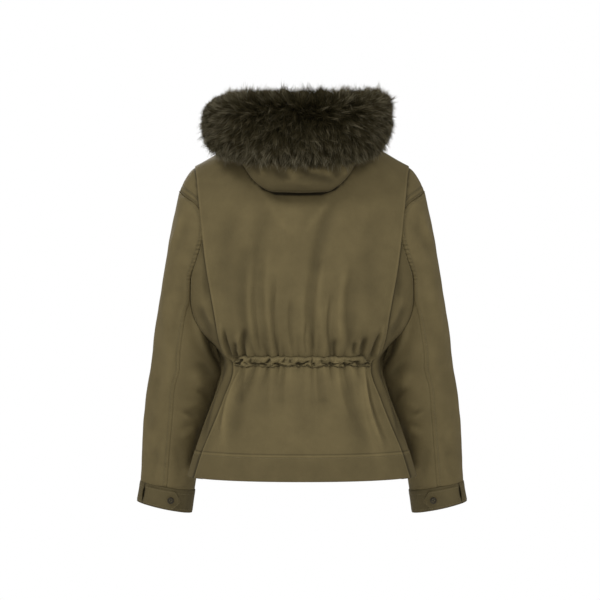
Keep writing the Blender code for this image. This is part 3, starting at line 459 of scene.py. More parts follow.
# ---- torso surface ----
def top_height(x, back):
    """Height of the neckline, of the shoulder seam beside it, and of the drop beyond that."""
    x = np.abs(x)
    neck = -NECK_DROP[back] * (1 - (np.minimum(x, NECK) / NECK) ** 2)
    seam = SHOULDER[1] * (x - NECK) / (SHOULDER[0] - NECK)
    reach = (x - SHOULDER[0]) / (ARMHOLE[-1][1] - SHOULDER[0])
    end = SHOULDER[1] + (ARM_TOP - SHOULDER[1]) * mix(reach * reach, reach, SHOULDER_STRAIGHT)
    return np.where(x < NECK, neck, np.where(x < SHOULDER[0], seam, end))


def quarter(x, z):
    """Angle from the centre line to the point of half width x on the section at height z."""
    return np.arcsin(np.minimum(np.abs(x) / column(BODY, z), 1.0))


def torso(angle, z, back):
    """Points of the body's surface on the wearer's left; the angle runs from the centre line."""
    half, behind, front, square = np.moveaxis(blend(BODY, z), -1, 0)
    share = np.minimum(np.sin(angle), 1.0)
    x = half * share
    y = (behind if back else front) * (1 - share**square) ** (1 / square)
    drop = np.clip((top_height(x, back) - z) / ROUNDING, 0.0, 1.0)
    rim = NECK_REACH[back] * np.sqrt(np.maximum(1 - (np.abs(x) / NECK) ** 2, 0.0))
    y = rim + (y - rim) * np.sqrt(1 - (1 - drop) ** 2)
    return np.stack([x, y if back else -y, z + 0 * x], axis=-1)


def on_body(x, z, back):
    """Points of the body's surface by their x, on either side."""
    return torso(quarter(x, z), z, back) * sided(np.where(x < 0, -1, 1))


class Rows:
    """Rows of a panel: heights up to the underarm, then shares of the way up to the top."""

    def __init__(self, lower, middle, upper, shares=()):
        heights = np.linspace(HEM, UNDERARM, lower + 1)
        clear = np.abs(heights[:, None] - np.asarray(HEM_ROWS)).min(axis=1) > ROW_CLEAR
        clear[0] = clear[-1] = True
        heights = np.union1d(heights[clear], HEM_ROWS)
        high = mix(SEAM_SHARE, 1.0, np.sin(math.pi / 2 * (np.arange(1, upper + 1) / upper)))
        if len(shares):
            apart = np.abs(high[:, None] - np.asarray(shares)).min(axis=1)
            high = np.union1d(high[apart > shares[1] - shares[0]], shares)
        self.base = np.concatenate([heights, np.full(middle + len(high), UNDERARM)])
        low = SEAM_SHARE * np.arange(1, middle + 1) / middle
        self.share = np.concatenate([np.zeros(len(heights)), low, high])

    def level(self, top):
        return self.base + self.share * (top - UNDERARM)


def armhole_edge(rows):
    z = rows.level(ARM_TOP)
    return np.where(rows.share > 0, column(ARMHOLE, z), column(BODY, z)), z


def pleat_edge(rows):
    z = rows.level(top_height(PLEAT[-1][1], True))
    return column(PLEAT, z), z


def underlap_edge(rows):
    x, z = pleat_edge(rows)
    return np.minimum(x, armhole_edge(rows)[0]) - UNDERLAP, z


def centre_edge(rows, back):
    z = rows.level(top_height(0.0, back))
    return 0 * z + (0 if back else CLOSING_GAP), z


def spaced(at, rows, near, count, far):
    """Evaluates a surface so that its outer columns keep given distances from both edges.

    Returns the points and how far each lies from the first and from the last edge.
    """
    even = np.linspace(0, 1, EVEN_STEPS)
    rough = at(np.tile(even, (rows, 1)))
    steps = np.linalg.norm(np.diff(rough, axis=1), axis=2)
    run = np.concatenate([np.zeros((rows, 1)), np.cumsum(steps, axis=1)], axis=1)
    shares, places = [], []
    for line in run:
        width = line[-1]
        lead, tail = (
            np.asarray(d) * min(1.0, EDGE_SHARE * width / max(d[-1], 1e-6)) for d in (near, far)
        )
        middle = np.linspace(lead[-1], width - tail[-1], count + 1)[1:-1]
        place = np.concatenate([lead, middle, (width - tail)[::-1]])
        shares.append(np.interp(place, line, even))
        places.append(place)
    places = np.array(places)
    return at(np.array(shares)), places, run[:, -1:] - places


def panel(rows, inner, outer, back, near, count, far):
    """Points of a torso panel between two edges, with their distances from both."""
    first, last = (quarter(*edge)[:, None] for edge in (inner, outer))

    def at(share):
        angle = mix(first, last, share)
        top = np.full(share.shape[1], ARM_TOP)
        for _ in range(TOP_STEPS):
            top = top_height(torso(angle[-1], top, back)[:, 0], back)
        z = rows.base[:, None] + rows.share[:, None] * (top - UNDERARM)
        return torso(angle, z, back)

    return spaced(at, len(rows.base), near, count, far)


# ---- relief ----
def creases(table, x, z, fade=(-0.15, 0.25), wider=1.0):
    """Sum of soft troughs and ridges at the given places."""
    total = np.zeros(np.shape(x))
    for x1, z1, x2, z2, half1, half2, depth in table:
        run = np.array([x2 - x1, z2 - z1])
        share = ((x - x1) * run[0] + (z - z1) * run[1]) / (run @ run)
        bow = 0.05 * np.hypot(*run) * np.sin(np.clip(share, 0, 1) * math.pi)
        across = ((x - x1) * run[1] - (z - z1) * run[0]) / np.hypot(*run) + bow
        half = wider * mix(half1, half2, np.clip(share, 0, 1))
        half = half * (1 + FOLD_SKEW * math.sin(5.3 * x1 + z1) * np.tanh(2 * across / half))
        ends = ease(share, *fade) * ease(1 - share, *fade)
        total += depth * ends * hump(across, half)
    return total


def gathered(x, z):
    """Narrow folds that spring from the casing and die away above and below it."""
    total = np.zeros(np.shape(x))
    high = z > (CASING_TOP + CASING_BOTTOM) / 2
    for place, half, depth, above, below in GATHERS:
        away = np.where(high, (z - CASING_TOP) / above, (CASING_BOTTOM - z) / (0.7 * below))
        away = np.maximum(away, 0.0)
        aside = x - place * (1 + 0.14 * away)
        wide = 0.72 * half * (1 + 0.9 * away)
        wide = wide * (1 + FOLD_SKEW * math.sin(3.1 * place) * np.tanh(aside / wide))
        deep = np.where(high, GATHER_CALM, 1.0) * GATHER_DEPTH * depth
        total += deep * np.exp(-((aside / wide) ** 2) - away**1.6)
    return total


def seam_shade(edge, *rows):
    """Darkening of a seam and of its rows of stitches."""
    shade = -2.6 * hump(edge, 0.9)
    for row in rows:
        shade = shade - STITCH_SHADE * hump(edge - row, 1.1)
    return shade


def seam_relief(edge, along, stitch=None, depth=0.8, seed=0.0):
    """The cloth dips into a seam, and puckers a little along its topstitching."""
    lift = -depth * hump(edge, 1.3)
    if stitch:
        lift = lift - 0.3 * hump(edge - stitch, 1.2)
        wave = np.sin(along / PUCKER_LENGTH * 2 * math.pi + 2.2 * drift(along / 31.0, seed))
        strong = 0.55 + 0.45 * drift(along / 40.0, seed + 4.0)
        lift = lift + PUCKER * strong * wave * hump(edge - 0.6 * stitch, 0.75 * stitch)
    return lift


def hem_relief(z, x):
    """The turned-up hem is doubled and stitched."""
    up = z - HEM
    lift = HEM_STEP * (1 - ease(up, HEM_BAND - 1.2, HEM_BAND + 0.4))
    lift = lift - 0.6 * hump(up - HEM_BAND + HEM_STITCH, 1.1)
    lift = lift + 0.5 * drift(x / 9.0, 3.1) * hump(up - HEM_BAND, 9.0)
    return lift - 0.8 * hump(up, 1.4)


def hem_shade(z):
    """Painted shade on the two stitched rows of the hem, the upper one darker, a painted highlight on the
    ridge between, and painted shade over the band below.
    """
    up = z - HEM - HEM_BAND
    rows = 4.5 * hump(up + 0.2, 1.2) + 2.6 * hump(up + HEM_STITCH, 1.1)
    return 1.4 * hump(up + 3.2, 1.4) - rows - 1.8 * (1 - ease(up, -9.0, -7.0))


# ---- grids and meshes ----
def outside(points):
    """Away from the body's axis."""
    return points * (1, 1, 0) + (0, 0, 30.0)


def facing(points, outward=None):
    """Unit normals of a grid, on the side that outward names (away from the body's axis)."""
    outward = outside(points) if outward is None else outward
    normal = np.cross(np.gradient(points, axis=1), np.gradient(points, axis=0))
    flat = np.linalg.norm(normal, axis=-1, keepdims=True) < 1e-7
    normal = unit(np.where(flat, outward, normal))
    wrong = np.sum(normal * outward, axis=-1, keepdims=True) < 0
    return np.where(wrong, -normal, normal)


def settled(points):
    """Lets the shoulder corner sink a little, as the cloth is thin there."""
    near = ease(np.abs(points[..., 0]), *CORNER[0]) * ease(points[..., 2], *CORNER[1])
    return points - near[..., None] * (0.0, 0.0, SHOULDER_SINK)


def mirrored(points):
    return points[:, ::-1] * (-1, 1, 1)


def both_sides(points, shade):
    """A panel of the wearer's left and its mirror image."""
    yield "left", 1, points, shade
    yield "right", -1, mirrored(points), shade[:, ::-1]


def turned_in(points, shade, normals, first=True):
    """Adds a seam allowance to a grid's sides, turned in under the piece it is sewn to."""
    columns, shades = [points], [shade]
    for end, near, place in ((0, 1, 0), (-1, -2, 2))[0 if first else 1:]:
        aside = unit(points[:, end] - points[:, near])
        allowance = points[:, end] + aside * ALLOWANCE[0] - normals[:, end] * ALLOWANCE[1]
        columns.insert(place, allowance[:, None])
        shades.insert(place, np.full((len(points), 1), ALLOWANCE_SHADE))
    return np.concatenate(columns, axis=1), np.concatenate(shades, axis=1)


def grid_faces(rows, columns, ring=False):
    r, c = np.meshgrid(np.arange(rows - 1), np.arange(columns if ring else columns - 1), indexing="ij")
    d = (c + 1) % columns
    quads = [r * columns + c, r * columns + d, (r + 1) * columns + d, (r + 1) * columns + c]
    return np.stack(quads, axis=-1).reshape(-1, 4)


def placed(name, data):
    obj = bpy.data.objects.new(name, data)
    bpy.context.scene.collection.objects.link(obj)
    return obj


def mesh_of(name, points, edges=(), faces=()):
    """A mesh of millimetre points."""
    mesh = bpy.data.meshes.new(name)
    mesh.from_pydata((np.asarray(points).reshape(-1, 3) * MM).tolist(), list(edges), faces)
    return mesh


def smooth_object(name, points, faces, finish):
    mesh = mesh_of(name, points, faces=faces.tolist())
    mesh.materials.append(finish)
    mesh.shade_smooth()
    return placed(name, mesh)


def set_field(mesh, name, values):
    """Stores one number or vector for each point."""
    vector = values.ndim > 2
    layer = mesh.attributes.new(name, "FLOAT_VECTOR" if vector else "FLOAT", "POINT")
    layer.data.foreach_set("vector" if vector else "value", values.astype(np.float32).ravel())


def cloth(name, points, finish, shade, thick=1.2, outward=None, deepest=1.0):
    """A cloth shell on a grid of points, with a map along its threads."""
    rows, columns = points.shape[:2]
    outward = outside(points) if outward is None else outward
    cross = np.cross(points[1:, 1:] - points[:-1, :-1], points[1:, :-1] - points[:-1, 1:])
    turned = np.sum(cross * outward[:-1, :-1]) < 0
    faces = grid_faces(rows, columns)
    obj = smooth_object(name, points, faces[:, ::-1] if turned else faces, finish)
    mesh = obj.data
    across = np.cumsum(np.linalg.norm(np.diff(points, axis=1, prepend=points[:, :1]), axis=2), axis=1)
    across -= across[:, columns // 2, None]
    up = np.cumsum(np.linalg.norm(np.diff(points, axis=0, prepend=points[:1]), axis=2), axis=0)
    threads = (np.stack([across, up], axis=-1) * MM).reshape(-1, 2)
    corner = np.empty(len(mesh.loops), dtype=np.int32)
    mesh.loops.foreach_get("vertex_index", corner)
    layer = mesh.uv_layers.new(name="threads")
    layer.uv.foreach_set("vector", threads[corner].astype(np.float32).ravel())
    # painted shade and painted highlights at each point, lower darker and higher lighter, which the
    # cloth's material puts into its colour
    set_field(mesh, "raised", 0.5 + 0.5 * np.clip(shade / SHADE_SCALE, -deepest, 1))
    shell = obj.modifiers.new("Thickness", "SOLIDIFY")
    shell.thickness = thick * MM
    shell.offset = 0.0
    return obj


def dress(obj, slot, *nodes):
    """Fixes a finished piece to the packed model."""
    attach(obj, "root")
    if nodes:
        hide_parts(*nodes)


def sheet(node, points, finish, shade, slot, flat, held, area, rests_on, **shell):
    """A cloth piece that stands for a node; the size it was cut to, in metres, is not used."""
    piece = cloth(f"{node}_cloth", points, finish, shade, **shell)
    dress(piece, slot, node)


# ---- materials ----
def build(tree, nodes, links, **made):
    """Adds named nodes to a tree and joins their sockets.

    A node is its kind, its operation where it has one, and its settings: those named for a socket,
    or numbered, are its values, the others its attributes, and stops those of a colour ramp.
    A link is "node.Socket > node.Socket".
    """
    for name, spec in nodes.items():
        kind, settings = (spec, {}) if isinstance(spec, str) else spec
        kind, _, operation = kind.partition(" ")
        node = made[name] = tree.nodes.new(kind if "Node" in kind else f"ShaderNode{kind}")
        if operation:
            node.operation = operation
        for key, value in settings.items():
            if key == "stops":
                stops = node.color_ramp.elements
                while len(stops) < len(value):
                    stops.new(0.5)
                for stop, (at, colour) in zip(stops, value):
                    stop.position, stop.color = at, (*colour, 1.0)
            elif isinstance(key, int) or key in node.inputs:
                node.inputs[key].default_value = value
            else:
                setattr(node, key, value)
    for line in links.replace("\n", ";").split(";"):
        if not line.strip():
            continue
        source, targets = line.split(">")
        for target in targets.split(","):
            ends = []
            for text, way in ((source, "outputs"), (target, "inputs")):
                name, _, key = text.strip().partition(".")
                ends.append(getattr(made[name], way)[int(key) if key.isdigit() else key])
            tree.links.new(*ends)


def node_group(name, kind, inputs, outputs, nodes, links):
    """A node group with named inputs and outputs, made once."""
    tree = bpy.data.node_groups.get(name)
    if tree:
        return tree
    tree = bpy.data.node_groups.new(name, kind)
    if kind == "GeometryNodeTree":
        tree.is_modifier = True
    for way, sockets in (("INPUT", inputs), ("OUTPUT", outputs)):
        for label, socket, *default in sockets:
            made = tree.interface.new_socket(name=label, in_out=way, socket_type=f"NodeSocket{socket}")
            if default:
                made.default_value = default[0]
    build(tree, {"given": "NodeGroupInput", "out": "NodeGroupOutput", **nodes}, links)
    return tree


def material(name, nodes, links, settings):
    """A material, made once; its Principled shader is called shader in the links."""
    made = bpy.data.materials.get(name)
    if made:
        return made
    made = bpy.data.materials.new(name)
    made.use_nodes = True
    shader = made.node_tree.nodes["Principled BSDF"]
    build(made.node_tree, nodes, links, shader=shader)
    for key, value in settings.items():
        shader.inputs[key].default_value = value
    return made


def cloth_surface():
    """Twill lines, slubs, mottling, and the painted shade and painted highlights that each point's map
    carries, for every cloth finish.
    """
    return node_group(
        "gabardine_surface",
        "ShaderNodeTree",
        [
            ("Colour", "Color", (0.13, 0.10, 0.05, 1)),
            ("Twill Size", "Float", 0.0011),
            ("Mottling", "Float", 0.12),
            ("Fold Shade", "Float", 0.25),
            ("Roughness", "Float", 0.8),
        ],
        [("Colour", "Color"), ("Roughness", "Float"), ("Height", "Float")],
        {
            "threads": ("UVMap", {"uv_map": "threads"}),
            "place": "TexCoord",
            "raised": ("Attribute", {"attribute_name": "raised"}),
            "split": "SeparateXYZ",
            "slope": ("Math MULTIPLY_ADD", {1: 0.75}),
            "ribs": "Math DIVIDE",
            "turns": ("Math MULTIPLY", {1: 2 * math.pi}),
            "twill": "Math SINE",
            "slub": ("TexNoise", {"Scale": 900.0, "Detail": 2.0}),
            "mottle": ("TexNoise", {"Scale": 26.0, "Detail": 6.0, "Roughness": 0.62}),
            "uneven": ("MapRange", {"From Min": 0.3, "From Max": 0.7}),
            "low": ("Math SUBTRACT", {0: 1.0}),
            "high": ("Math ADD", {0: 1.0}),
            "shade": ("MapRange", {"clamp": False, "From Min": 0.0, "From Max": 1.0}),
            "least": ("Math SUBTRACT", {0: 1.0}),
            "most": ("Math MULTIPLY_ADD", {1: 0.5, 2: 1.0}),
            "fine": ("MapRange", {"From Min": -1.0, "To Min": 0.95, "To Max": 1.04}),
            "both": "Math MULTIPLY",
            "all_three": "Math MULTIPLY",
            "tinted": "VectorMath SCALE",
            "height": ("Math MULTIPLY_ADD", {1: 0.35}),
            "rough": ("Math MULTIPLY_ADD", {1: -0.08}),
        },
        """
        threads.UV > split.0, slub.Vector; split.X > slope.0; split.Y > slope.2
        slope.0 > ribs.0; given.Twill Size > ribs.1; ribs.0 > turns.0; turns.0 > twill.0
        place.Object > mottle.Vector; mottle.Fac > uneven.Value, rough.0
        given.Mottling > low.1, high.1; low.0 > uneven.To Min; high.0 > uneven.To Max
        raised.Fac > shade.Value; given.Fold Shade > least.1, most.0
        least.0 > shade.To Min; most.0 > shade.To Max; twill.0 > fine.Value, height.2
        uneven.0 > both.0; shade.0 > both.1; both.0 > all_three.0; fine.0 > all_three.1
        given.Colour > tinted.0; all_three.0 > tinted.Scale; tinted.0 > out.Colour
        slub.Fac > height.0; height.0 > out.Height
        given.Roughness > rough.2; rough.0 > out.Roughness
        """,
    )


def gabardine(name, colour, look, mottling=0.1, fold_shade=0.55):
    """Dense olive cotton with a fine diagonal rib and a soft sheen."""
    surface = {
        "node_tree": cloth_surface(),
        "Colour": (*colour, 1.0),
        "Twill Size": look.twill_size,
        "Mottling": mottling,
        "Fold Shade": fold_shade,
        "Roughness": look.roughness,
    }
    return material(
        name,
        {"surface": ("Group", surface), "bump": ("Bump", {"Strength": 0.25, "Distance": 0.00012})},
        """
        surface.Colour > shader.Base Color; surface.Roughness > shader.Roughness
        surface.Height > bump.Height; bump.Normal > shader.Normal
        """,
        {
            "Specular IOR Level": 0.14,
            "Sheen Weight": look.sheen,
            "Sheen Roughness": 0.5,
            "Sheen Tint": (0.55, 0.47, 0.30, 1.0),
        },
    )


def main_cloth(context):
    look = context.scene.parka_cloth
    return gabardine("olive_gabardine_cloth", look.colour, look)


def trim_cloth(context):
    look = context.scene.parka_cloth
    return gabardine("olive_gabardine_trim_cloth", look.trim_colour, look, 0.08, 0.6)


def fur_finish(name, root, middle, tip, pale):
    """Hair that is dark at the root and greyer at the tip; the map holds shade and length."""
    return material(
        name,
        {
            "place": ("UVMap", {"uv_map": "OFBake"}),
            "split": "SeparateXYZ",
            "dark": ("ValToRGB", {"stops": ((0.0, root), (0.55, middle), (1.0, middle))}),
            "light": ("ValToRGB", {"stops": ((0.0, middle), (0.55, tip), (1.0, pale))}),
            "along": (
                "MapRange",
                {"interpolation_type": "SMOOTHSTEP", "From Min": 0.25, "From Max": 1.0},
            ),
            "both": ("Mix", {"data_type": "RGBA"}),
        },
        """
        place.UV > split.0; split.X > dark.Fac, light.Fac; split.Y > along.Value
        along.0 > both.Factor; dark.Color > both.A; light.Color > both.B
        both.Result > shader.Base Color
        """,
        {"Roughness": 0.6, "Specular IOR Level": 0.06},
    )


def plain_finish(name, colour, roughness, grain, contrast, specular):
    """A dyed or moulded finish with a cloudy grain."""
    darker, lighter = ([c * share for c in colour] for share in (1 - contrast, 1 + contrast))
    return material(
        name,
        {
            "place": "TexCoord",
            "cloud": ("TexNoise", {"Scale": grain, "Detail": 5.0}),
            "ramp": ("ValToRGB", {"stops": ((0.3, darker), (0.7, lighter))}),
            "bump": ("Bump", {"Strength": 0.2, "Distance": 0.0002}),
        },
        """
        place.Object > cloud.Vector; cloud.Fac > ramp.Fac, bump.Height
        ramp.Color > shader.Base Color; bump.Normal > shader.Normal
        """,
        {"Roughness": roughness, "Specular IOR Level": specular},
    )


# ---- stitching ----
def stitch_tree():
    """Geometry nodes that lay one thread after another along the edges they are given."""
    return node_group(
        "stitch_row",
        "GeometryNodeTree",
        [
            ("Geometry", "Geometry"),
            ("Pitch", "Float", 0.0034),
            ("Thread", "Vector", (0.0012, 0.00038, 0.00038)),
            ("Finish", "Material"),
        ],
        [("Geometry", "Geometry")],
        {
            "curve": "GeometryNodeMeshToCurve",
            "even": ("GeometryNodeResampleCurve", {"mode": "LENGTH"}),
            "ball": ("GeometryNodeMeshUVSphere", {"Segments": 6, "Rings": 4, "Radius": 1.0}),
            "size": "GeometryNodeTransform",
            "way": "GeometryNodeInputTangent",
            "turn": ("FunctionNodeAlignRotationToVector", {"axis": "X"}),
            "lay": "GeometryNodeInstanceOnPoints",
            "real": "GeometryNodeRealizeInstances",
            "finish": "GeometryNodeSetMaterial",
        },
        """
        given.Geometry > curve.0; curve.0 > even.Curve; given.Pitch > even.Length
        ball.Mesh > size.Geometry; given.Thread > size.Scale; way.0 > turn.Vector
        even.0 > lay.Points; size.0 > lay.Instance; turn.0 > lay.Rotation; lay.0 > real.0
        real.0 > finish.Geometry; given.Finish > finish.Material; finish.0 > out.Geometry
        """,
    )


def run_nodes(obj, tree, values):
    """Applies a geometry node tree to an object and keeps the result as a plain mesh."""
    step = obj.modifiers.new("Nodes", "NODES")
    step.node_group = tree
    for item in tree.interface.items_tree:
        if item.item_type == "SOCKET" and item.in_out == "INPUT" and item.name in values:
            step[item.identifier] = values[item.name]
    graph = bpy.context.evaluated_depsgraph_get()
    result = bpy.data.meshes.new_from_object(obj.evaluated_get(graph))
    obj.modifiers.remove(step)
    old, obj.data = obj.data, result
    bpy.data.meshes.remove(old)
    result.name = obj.name


def sew(name, lines, context, slot="olive_gabardine_trim"):
    """Rows of stitches along lines of millimetre points."""
    look = context.scene.parka_stitches
    points, edges = [], []
    for line in lines:
        start = len(points)
        points.extend(np.asarray(line).tolist())
        edges.extend((k, k + 1) for k in range(start, len(points) - 1))
    obj = placed(name, mesh_of(name, points, edges))
    thread = plain_finish("olive_thread", look.colour, 0.7, 300.0, 0.25, 0.2)
    size = (look.length / 2, look.thickness / 2, look.thickness / 2)
    run_nodes(obj, stitch_tree(), {"Pitch": look.pitch, "Thread": size, "Finish": thread})
    obj.data.shade_smooth()
    dress(obj, slot)


def column_line(points, normals, index, lift=THREAD_LIFT):
    """A column of the grid, lifted to where its thread lies."""
    return points[:, index] + normals[:, index] * lift


def row_line(points, normals, index, lift=THREAD_LIFT):
    return points[index] + normals[index] * lift


def hem_line(points, rows):
    """The stitched row of the hem on a finished panel."""
    return row_line(points, facing(points), int(np.argmin(np.abs(rows.base - STITCH_UP))))


# ---- the back ----
def back_rise(x, z):
    """How far the back panel lies outside the body's surface."""
    rise = mix(PLEAT_OUT, PLEAT_OUT_TOP, ease(z, PLEAT_OUT_FROM, SHOULDER[1]))
    return rise - SHOULDER_THIN * ease(np.abs(x), *SHOULDER_END) * ease(z, *SHOULDER_RISE)


def back_folds(x, z):
    """The folds, gathers and slow waves that run under the casing too."""
    slow = 0.7 * drift(x / 31.0 + z / 90.0, 1.0) + 0.35 * drift(z / 23.0 - x / 50.0, 5.0)
    return 0.85 * creases(BACK_CREASES, x, z) + gathered(x, z) + slow


def back_relief(x, z):
    """Every fold of the back panel; none of them reaches its edges or its top."""
    edge = column(PLEAT, z)
    inside = 1 - ease(np.abs(x), *(edge - calm for calm in BACK_CALM))
    return back_folds(x, z) * inside * (1 - ease(z, *BACK_TOP)) + hem_relief(z, x)


def contact(x, z):
    """Painted shadow on the back panel where the hood's pouch rests on it, darkest below its middle, with
    painted light just around it.
    """
    px, pz = np.array(POUCH_OUTLINE).T
    t = np.linspace(0, 1, 25)[:-1, None]
    line = [mix(p[:-1], p[1:], t).T.ravel() for p in (px, pz)]
    away = np.hypot(x[..., None] - line[0], z[..., None] - line[1]).min(axis=-1)
    fold = 1 - ease(np.abs(x - 4.0), *SHADOW_LINE_FADE)
    return 1.2 * hump(away, 8.0) - mix(*SHADOW_LINE_DARK, fold) * hump(away, mix(*SHADOW_LINE_WIDTH, fold))


class PARKA_OT_back(bpy.types.Operator):
    """Back panel with its soft folds, waist gathers, rolled pleat edges and stitched hem"""

    bl_idname = "parka.back"
    bl_label = "Back panel"

    def rolled(self, base, normals, rise, end, near):
        """The pleat's rolled edge, from the panel round to its return."""
        edge, out, high = base[:, end], normals[:, end], rise[:, end]
        aside = unit(edge - base[:, near])
        under = PLEAT_UNDER + 0 * high
        middle, radius = (high + under) / 2, (high - under) / 2
        curl = []
        for angle in np.radians(ROLL_ANGLES):
            reach, lift = radius * ROLL_WIDTH * np.cos(angle), middle + radius * np.sin(angle)
            curl.append(edge + aside * reach[:, None] + out * lift[:, None])
        for inward in (5.0, PLEAT_RETURN):
            curl.append(edge - aside * inward + out * under[:, None])
        return np.stack(curl, axis=1)

    def execute(self, context):
        rows = Rows(66, 28, 46, np.linspace(*POUCH_ROWS))
        edges = centre_edge(rows, True), pleat_edge(rows)
        half, _, _ = panel(rows, *edges, True, [0.0], 78, [0.0, 1.5, 3.5])
        base = np.concatenate([mirrored(half)[:, :-1], half], axis=1)
        normals = facing(base)
        x, z = base[..., 0], base[..., 2]
        relief = back_relief(x, z)
        shade = mix(*BACK_TONE, hump(z - WAIST, WAIST_BAND)) * relief + hem_shade(z) - BACK_DEEPER
        rise = back_rise(x, z)
        points = base + normals * (rise + relief)[..., None]
        right, left = (self.rolled(base, normals, rise, *ends) for ends in ((0, 1), (-1, -2)))
        points = np.concatenate([right[:, ::-1], points, left], axis=1)
        down = points[-1] - (0, 1.2, 0)
        down[:, 2] -= mix(rise[-1].max(), 3.2, ease(np.abs(down[:, 0]), *SHOULDER_END)) - 0.6
        half_way = mix(points[-1], down, 0.5) - (0, 0.5, 0)
        points = settled(np.concatenate([points, half_way[None], down[None]]))
        side = z[:, -1:]
        skirt = 1 - ease(side, *SKIRT)
        rolled = mix(np.array(PLEAT_SHADE), np.array(PLEAT_LIGHT), skirt)
        rolled = rolled * (1 - 0.75 * ease(side, -84.0, -62.0))
        shade[:, [0, 1, -2, -1]] += mix(*EDGE_LIGHT, skirt)
        shade = np.maximum(shade, -SHADE_SCALE) + contact(x, z)
        shade = np.concatenate([rolled[:, ::-1], shade, rolled], axis=1)
        shade = np.concatenate([shade, 0 * shade[-2:] - [[0.6], [1.4]]])
        sheet("back_panel", points, main_cloth(context), shade, "olive_gabardine",
              (0.46, 0.66), "gathered", 0.272, ["side_back_left"], deepest=1.8)
        count = left.shape[1]
        sew("back_hem_stitches", [hem_line(points, rows)[count:-count]], context)
        return {"FINISHED"}


class PARKA_OT_casing(bpy.types.Operator):
    """Ruched casing of the waist cord, crumpled between two stitched edges"""

    bl_idname = "parka.casing"
    bl_label = "Waist casing"

    def execute(self, context):
        heights, steps = (np.linspace(-1, 1, count) for count in CASING_GRID)
        top = CASING_TOP - CASING_END * ease(np.abs(steps), *CASING_TAPER)
        z = mix(CASING_BOTTOM, top, (heights[:, None] + 1) / 2)
        x = (column(PLEAT, z) - CASING_INSET) * steps
        v = heights[:, None] + 0 * steps
        base = on_body(x, z, True)
        body = np.clip((1 - v) / (1 - CASING_FLAT), 0, 1) * np.clip((1 + v) / 0.5, 0, 1)
        body = np.sqrt(body * (2 - body))
        bunched = ease(np.abs(x), *CASING_BUNCHED)
        puff = CASING_PUFF * body * (0.8 + 0.35 * drift(x / 9.0, 2.0))
        ruches = RUCHE_DEPTH * creases(RUCHES, x, z, (-0.3, 0.15), RUCHE_WIDTH)
        puff = puff + ruches * np.clip(1.5 * body, 0, 1)
        puff = puff + (0.7 + bunched) * body * drift(x / 2.9 + 2 * v, 7.0)
        under = back_folds(x, z)
        under = under + 0.35 * np.abs(under)
        lift = np.maximum(puff, -0.8) - 0.4 * hump(v - CASING_STITCH, 0.06)
        base_lift = mix(*CASING_LIFT, ease(v, -1.0, 0.4))
        points = base + facing(base) * (back_rise(x, z) + under + base_lift + lift)[..., None]
        points[..., 2] -= CASING_DRIFT * drift(x / 6.5, 4.0) * (1 - ease(v, -1.0, 0.2))
        # painted shade: darker overall and at the crumpled ends, lighter on the puffs and on the flat
        # upper edge, with uneven patches
        shade = 1.7 * lift - 3.6 - 1.8 * bunched + 1.3 * drift(x / 7.0 + v, 3.0)
        shade = shade + 1.8 * (1 - bunched) * ease(v, 0.55, 0.8)
        sheet("waist_casing", points, trim_cloth(context), shade, "olive_gabardine_trim",
              (0.32, 0.027), "gathered", None, ["back_panel_cloth"], thick=0.9, deepest=1.6)
        row = int(np.argmin(np.abs(heights - CASING_STITCH)))
        sew("waist_casing_stitches", [row_line(points, facing(points), row, 0.6)], context)
        return {"FINISHED"}


class PARKA_OT_side_backs(bpy.types.Operator):
    """Side panels that run under the pleat and meet the sleeve"""

    bl_idname = "parka.side_backs"
    bl_label = "Side back panels"

    def execute(self, context):
        rows = Rows(56, 22, 26)
        edges = underlap_edge(rows), armhole_edge(rows)
        points, _, edge = panel(rows, *edges, True, SIDE_NEAR, 12, SIDE_FAR)
        x, z = points[..., 0], points[..., 2]
        relief = creases(SIDE_CREASES, x, z) * (1 - ease(z, -150, -110))
        relief = relief + seam_relief(edge, z, None, 0.7) + hem_relief(z, x)
        normals = facing(points)
        clear = x - column(PLEAT, z) - back_rise(x, z) * normals[..., 0]
        dips = hump(edge - CAP_DIPS[0], 1.2) + hump(edge - CAP_DIPS[1], 1.3)
        cap = ease(z, *CAP_TOP)
        # painted shade: a shadow beside the pleat's edge, a darker skirt and lower side, a hollow beside
        # the side seam at the waist, the seam and the dips of the cap's stitching
        shade = (
            relief
            + hem_shade(z)
            - 2.2 * (1 - ease(clear, 1.0, 9.0))
            - 5.0 * (1 - ease(clear, 2.0, 4.2))
            - 1.6 * (1 - ease(z, -460.0, -425.0))
            - 6.0 * hump(z - SIDE_HOLLOW[0], SIDE_HOLLOW[1]) * (1 - ease(edge, 10.0, 44.0))
            - 1.6 * (1 - ease(z, -230.0, -170.0)) * ease(z, -400.0, -380.0)
            + seam_shade(edge) * ease(z, UNDERARM, UNDERARM + 4)
            - 6.5 * dips * cap
        )
        points = settled(points + normals * (relief - 0.6 * dips * cap)[..., None])
        at, side = np.arange(len(points)), z[:, -1]
        lines = []
        for inset, start in zip(CAP_STITCHES, (UNDERARM, CAP_TOP[1])):
            pick = np.abs(edge - inset).argmin(axis=1)
            lines.append((points[at, pick] + normals[at, pick] * THREAD_LIFT)[side > start])
        points, shade = turned_in(points, shade, normals, first=False)
        for label, sign, grid, look in both_sides(points, shade):
            sheet(f"side_back_{label}", grid, main_cloth(context), look, "olive_gabardine",
                  (0.09, 0.57), "draped", 0.041, [f"front_{label}"], deepest=1.4)
            seams = [hem_line(grid, rows), *(line * (sign, 1, 1) for line in lines)]
            sew(f"side_back_{label}_stitches", seams, context)
        return {"FINISHED"}


